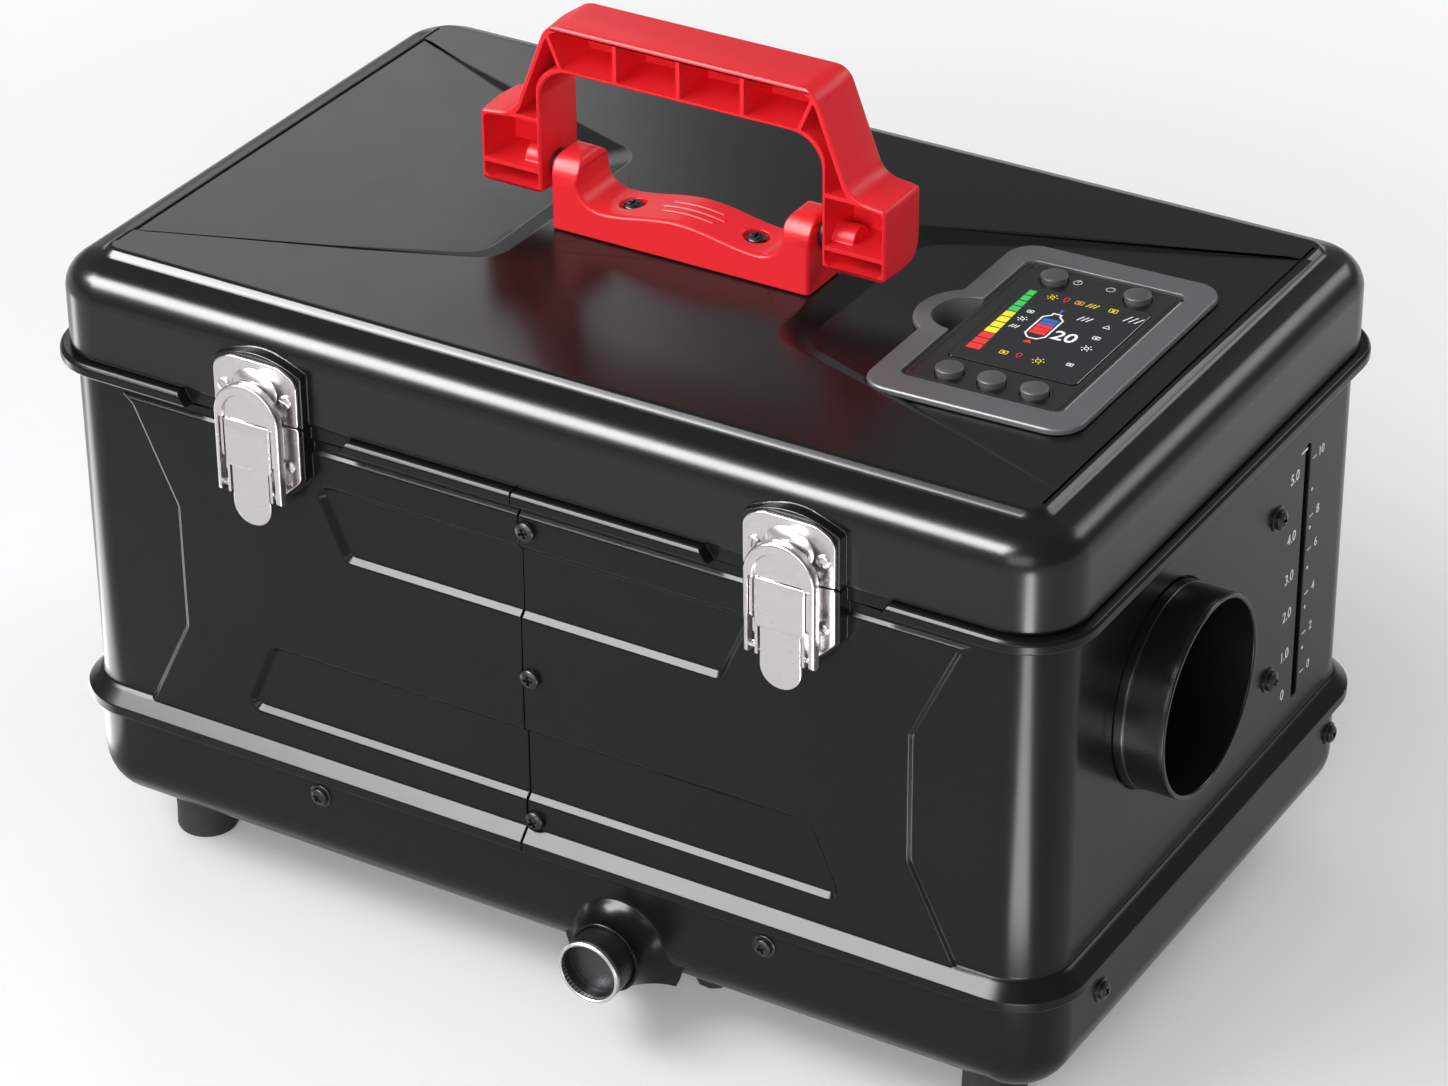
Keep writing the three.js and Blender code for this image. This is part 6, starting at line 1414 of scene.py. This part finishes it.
def roundRivet(radius, tall):
    rivet = lathe([(0, -1.0), (1.4, -1.0), (1.4, 0), (radius, 0), (radius, tall * 0.4),
                   (radius * 0.85, tall * 0.75), (radius * 0.5, tall * 0.96), (0, tall)], "z", 0, 0, 24)
    cut(rivet, block(-radius, radius, -screwSizes["slot"] / 2, screwSizes["slot"] / 2, tall * 0.62, tall + 1))
    softenEdges(rivet, 0)
    return rivet


def makeScrews():
    s, t = bodySizes, screwSizes
    quarter = math.pi / 2
    black, nickel = finishes["black_screws"], finishes["bright_nickel"]
    panY, panX = halfDepth - panSizes["inset"], halfWidth - panSizes["inset"]
    handleX, handleY = handleSizes["centre"]
    seatZ = lidTop + handleSizes["saddle"][0] - handleSizes["screwSink"] + fitGap
    # name, kind, places, turn, spin, seed, body, replaced nodes
    groups = [
        ("seamScrews", "seam", [(0, -fieldY - fitGap, bodyLow + rise) for rise in s["seamScrewRises"]],
         (quarter, 0, 0), 2.4, 3, "case", ["seam_screw_1", "seam_screw_2", "seam_screw_3"]),
        ("panScrewsFront", "pan", [(side * t["panX"], -panY, t["panZ"]) for side in (-1, 1)],
         (quarter, 0, 0), 2.0, 5, "case", []),
        ("panScrewsBack", "pan", [(side * t["panX"], panY, t["panZ"]) for side in (-1, 1)],
         (-quarter, 0, 0), 2.0, 6, "case", []),
        ("panScrewsRight", "pan", [(panX, y, t["endPanZ"]) for y in t["endPanY"]],
         (0, quarter, 0), 2.0, 8, "case", []),
        ("panScrewsLeft", "pan", [(-panX, y, t["endPanZ"]) for y in t["endPanY"]],
         (0, -quarter, 0), 2.0, 9, "case", []),
        ("endScrews", "end", [(wallX, t["endY"], z) for z in t["endZ"]],
         (0, quarter, 0), 2.0, 10, "case", []),
        ("handleScrews", "handle",
         [(handleX + side * handleSizes["screwX"], handleY, seatZ) for side in (-1, 1)],
         (0, 0, 0), 2.2, 12, "lid_assembly", ["handle_screw_left", "handle_screw_right"]),
    ]
    for name, kind, places, turn, spin, seed, body, nodes in groups:
        made = spreadPart(crossScrew(*screwKinds[kind]), places, name, black, turn, spin, seed=seed)
        finishPiece(made, name, black, nodes=nodes, body=body)
    for body, z in (("lid_assembly", seamZ + latchSizes["rivetRise"]),
                    ("case", seamZ - latchSizes["rivetDrop"])):
        places = [(latch * s["latchSpacing"] + side * latchSizes["rivetX"], plateFront, z)
                  for latch in (-1, 1) for side in (-1, 1)]
        made = spreadPart(roundRivet(2.5, 1.3), places, "latchRivets_" + body, nickel, (quarter, 0, 0), 3.0,
                          seed=14)
        finishPiece(made, "latchRivets_" + body, nickel, body=body)


makeScrews()
print("screws done")

# White fuel level scale beside the sight slot: ticks and dots by Geometry Nodes, generic numbers by text
scaleSizes = {"face": wallX + 0.02, "lift": 0.06, "ticks": (185.0, 160.1, 145.9, 126.9, 109.6, 92.6),
              "tickY": 81.0, "tick": (3.4, 0.5), "dots": (171.5, 155.2, 138.0, 121.0, 103.2), "dotY": 80.4,
              "dot": 0.75, "numbersY": 85.6, "numbers": ("10", "8", "6", "4", "2", "0"), "leftY": 64.2,
              "leftRises": (184.3, 158.8, 141.9, 125.8, 108.2, 90.8),
              "leftNumbers": ("5.0", "4.0", "3.0", "2.0", "1.0", "0"), "letter": 6.2, "topMark": (2.6, 0.45),
              "topMarkPlace": (71.5, 191.8)}


def onRightEnd(made, y, z):
    turn = Matrix(((0, 0, 1, scaleSizes["face"]), (1, 0, 0, y), (0, 1, 0, z), (0, 0, 0, 1)))
    made.data.transform(turn)
    return made


def scaleMarks(outline, y, rises, name):
    mark = onRightEnd(prism(outline, "z", 0, scaleSizes["lift"]), 0, 0)
    mark.data.transform(Matrix.Translation((-scaleSizes["face"], 0, 0)))
    return spreadPart(mark, [(scaleSizes["face"], y, z) for z in rises], name, inks["white"])


def makeFuelScale():
    s = scaleSizes
    tickOutline = boxOutline(s["tick"][0] / 2, s["tick"][1] / 2, 0, 1)
    ticks = scaleMarks(tickOutline, s["tickY"], s["ticks"], "scaleTicks")
    dots = scaleMarks(ringOutline(s["dot"], 14), s["dotY"], s["dots"], "scaleDots")
    words = []
    for number, z in zip(s["numbers"], s["ticks"]):
        words.append(onRightEnd(flatText(number, s["letter"] * 0.86, 0, 0, 0), s["numbersY"] + 1.2, z))
    for number, z in zip(s["leftNumbers"], s["leftRises"]):
        words.append(onRightEnd(flatText(number, s["letter"], 0, 0, 0), s["leftY"], z))
    mark = onRightEnd(prism(boxOutline(*s["topMark"], 0, 1), "z", 0, s["lift"]), *s["topMarkPlace"])
    whole = mergeAll([ticks, dots, mark] + words, "fuelScale")
    finishPiece(whole, "fuelScale", inks["white"], body="case")


def ovalRibs():
    bars, half = [], 0.95
    for i, reach in ((-1, 11.0), (0, 13.5), (1, 11.0)):
        rings = []
        for k in range(33):
            x = -reach * math.cos(math.pi * k / 32)
            inside = max(abs(x) - (reach - half), 0) / half
            w = half * math.sqrt(max(1 - inside * inside, 0.004))
            base = saddleHeight(x)
            section = ((-w, -0.4), (-w, 0.12), (-w * 0.7, 0.42), (0, 0.5), (w * 0.7, 0.42), (w, 0.12),
                       (w, -0.4))
            rings.append([(x, i * 3.9 + y, base + z) for y, z in section])
        bars.append(stackRings(rings))
    return bars


def makeHandleOvals():
    ribs = mergeAll(ovalRibs(), "handleOvals")
    softenEdges(ribs, 0)
    ribs.data.transform(handleShift)
    finishPiece(ribs, "handleOvals", finishes["handle_red"], body="lid_assembly")


# Perforated mesh inside the exhaust tip
def makeScreen():
    s = screenSizes
    mouth = panSizes["mouthY"] + s["depth"]
    reach = panSizes["exhaustRadius"] - panSizes["exhaustWall"]
    wire = lathe([(s["hole"] * 1.18, 0), (s["hole"] * 0.72, 0), (s["hole"] * 0.72, -0.3),
                  (s["hole"] * 1.18, -0.3)], "y",
                 0, 0, 6, True)
    places = []
    rows = int(reach / s["pitch"]) + 1
    for row in range(-rows, rows + 1):
        for column in range(-rows, rows + 1):
            u = (column + 0.5 * (row % 2)) * s["pitch"]
            v = row * s["pitch"] * 0.866
            if math.hypot(u, v) < reach - s["border"] - 0.2:
                places.append((panSizes["exhaustX"] + u, mouth + 0.35, panSizes["exhaustZ"] + v))
    made = spreadPart(wire, places, "exhaustMesh", finishes["exhaust_steel"])
    finishPiece(made, "exhaustMesh", finishes["exhaust_steel"], body="case")


makeFuelScale()
makeHandleOvals()
makeScreen()
print("scale, ovals and exhaust mesh done")

# Inside: cooling ribs on the heater casing and grips on the fuel cap
insideSizes = {"ribPitch": 9.0, "ribSpan": 3, "ribEnd": 26, "rib": (1.6, 0.9), "grips": 18, "gripRadius": 0.9}


def nodeBox(node):
    points = [frame["nodes"][node].matrix_world @ Vector(corner) for corner in frame["nodes"][node].bound_box]
    back = toPartFrame.inverted()
    points = [back @ point for point in points]
    return [(min(p[i] for p in points), max(p[i] for p in points)) for i in range(3)]


def makeInside():
    s = insideSizes
    (x0, x1), (y0, y1), (z0, z1) = nodeBox("heater_casing")
    width, tall = s["rib"]
    rib = prism(boxOutline((x1 - x0) / 2 - s["ribEnd"], width / 2, width / 2 - 0.05, 4), "z", 0, tall)
    softenEdges(rib, 0.3, 2)
    middle, span = (y0 + y1) / 2, s["ribSpan"]
    places = [((x0 + x1) / 2, middle + (i - span) * s["ribPitch"], z1 - 0.02) for i in range(2 * span + 1)]
    slotName = nodeSlot["heater_casing"]
    made = spreadPart(rib, places, "casingRibs", finishes[slotName])
    finishPiece(made, "casingRibs", finishes[slotName], body="case")
    (x0, x1), (y0, y1), (z0, z1) = nodeBox("fuel_cap")
    centre = ((x0 + x1) / 2, (y0 + y1) / 2)
    radius = min(x1 - x0, y1 - y0) / 2
    grips = []
    for i in range(s["grips"]):
        a = 2 * math.pi * i / s["grips"]
        grips.append(rod("z", s["gripRadius"], z0 + 2.5, z0 + 0.72 * (z1 - z0),
                         centre[0] + (radius - 0.3) * math.cos(a),
                         centre[1] + (radius - 0.3) * math.sin(a), 10))
    made = mergeAll(grips, "capGrips")
    softenEdges(made, 0.2, 1)
    finishPiece(made, "capGrips", finishes[nodeSlot["fuel_cap"]], body="tank_cap")


makeInside()
print("inside done")
for node in sorted(set(frame["nodes"]) - dressedNodes):
    dressNode(node, finishes[nodeSlot[node]])
print("all nodes dressed")
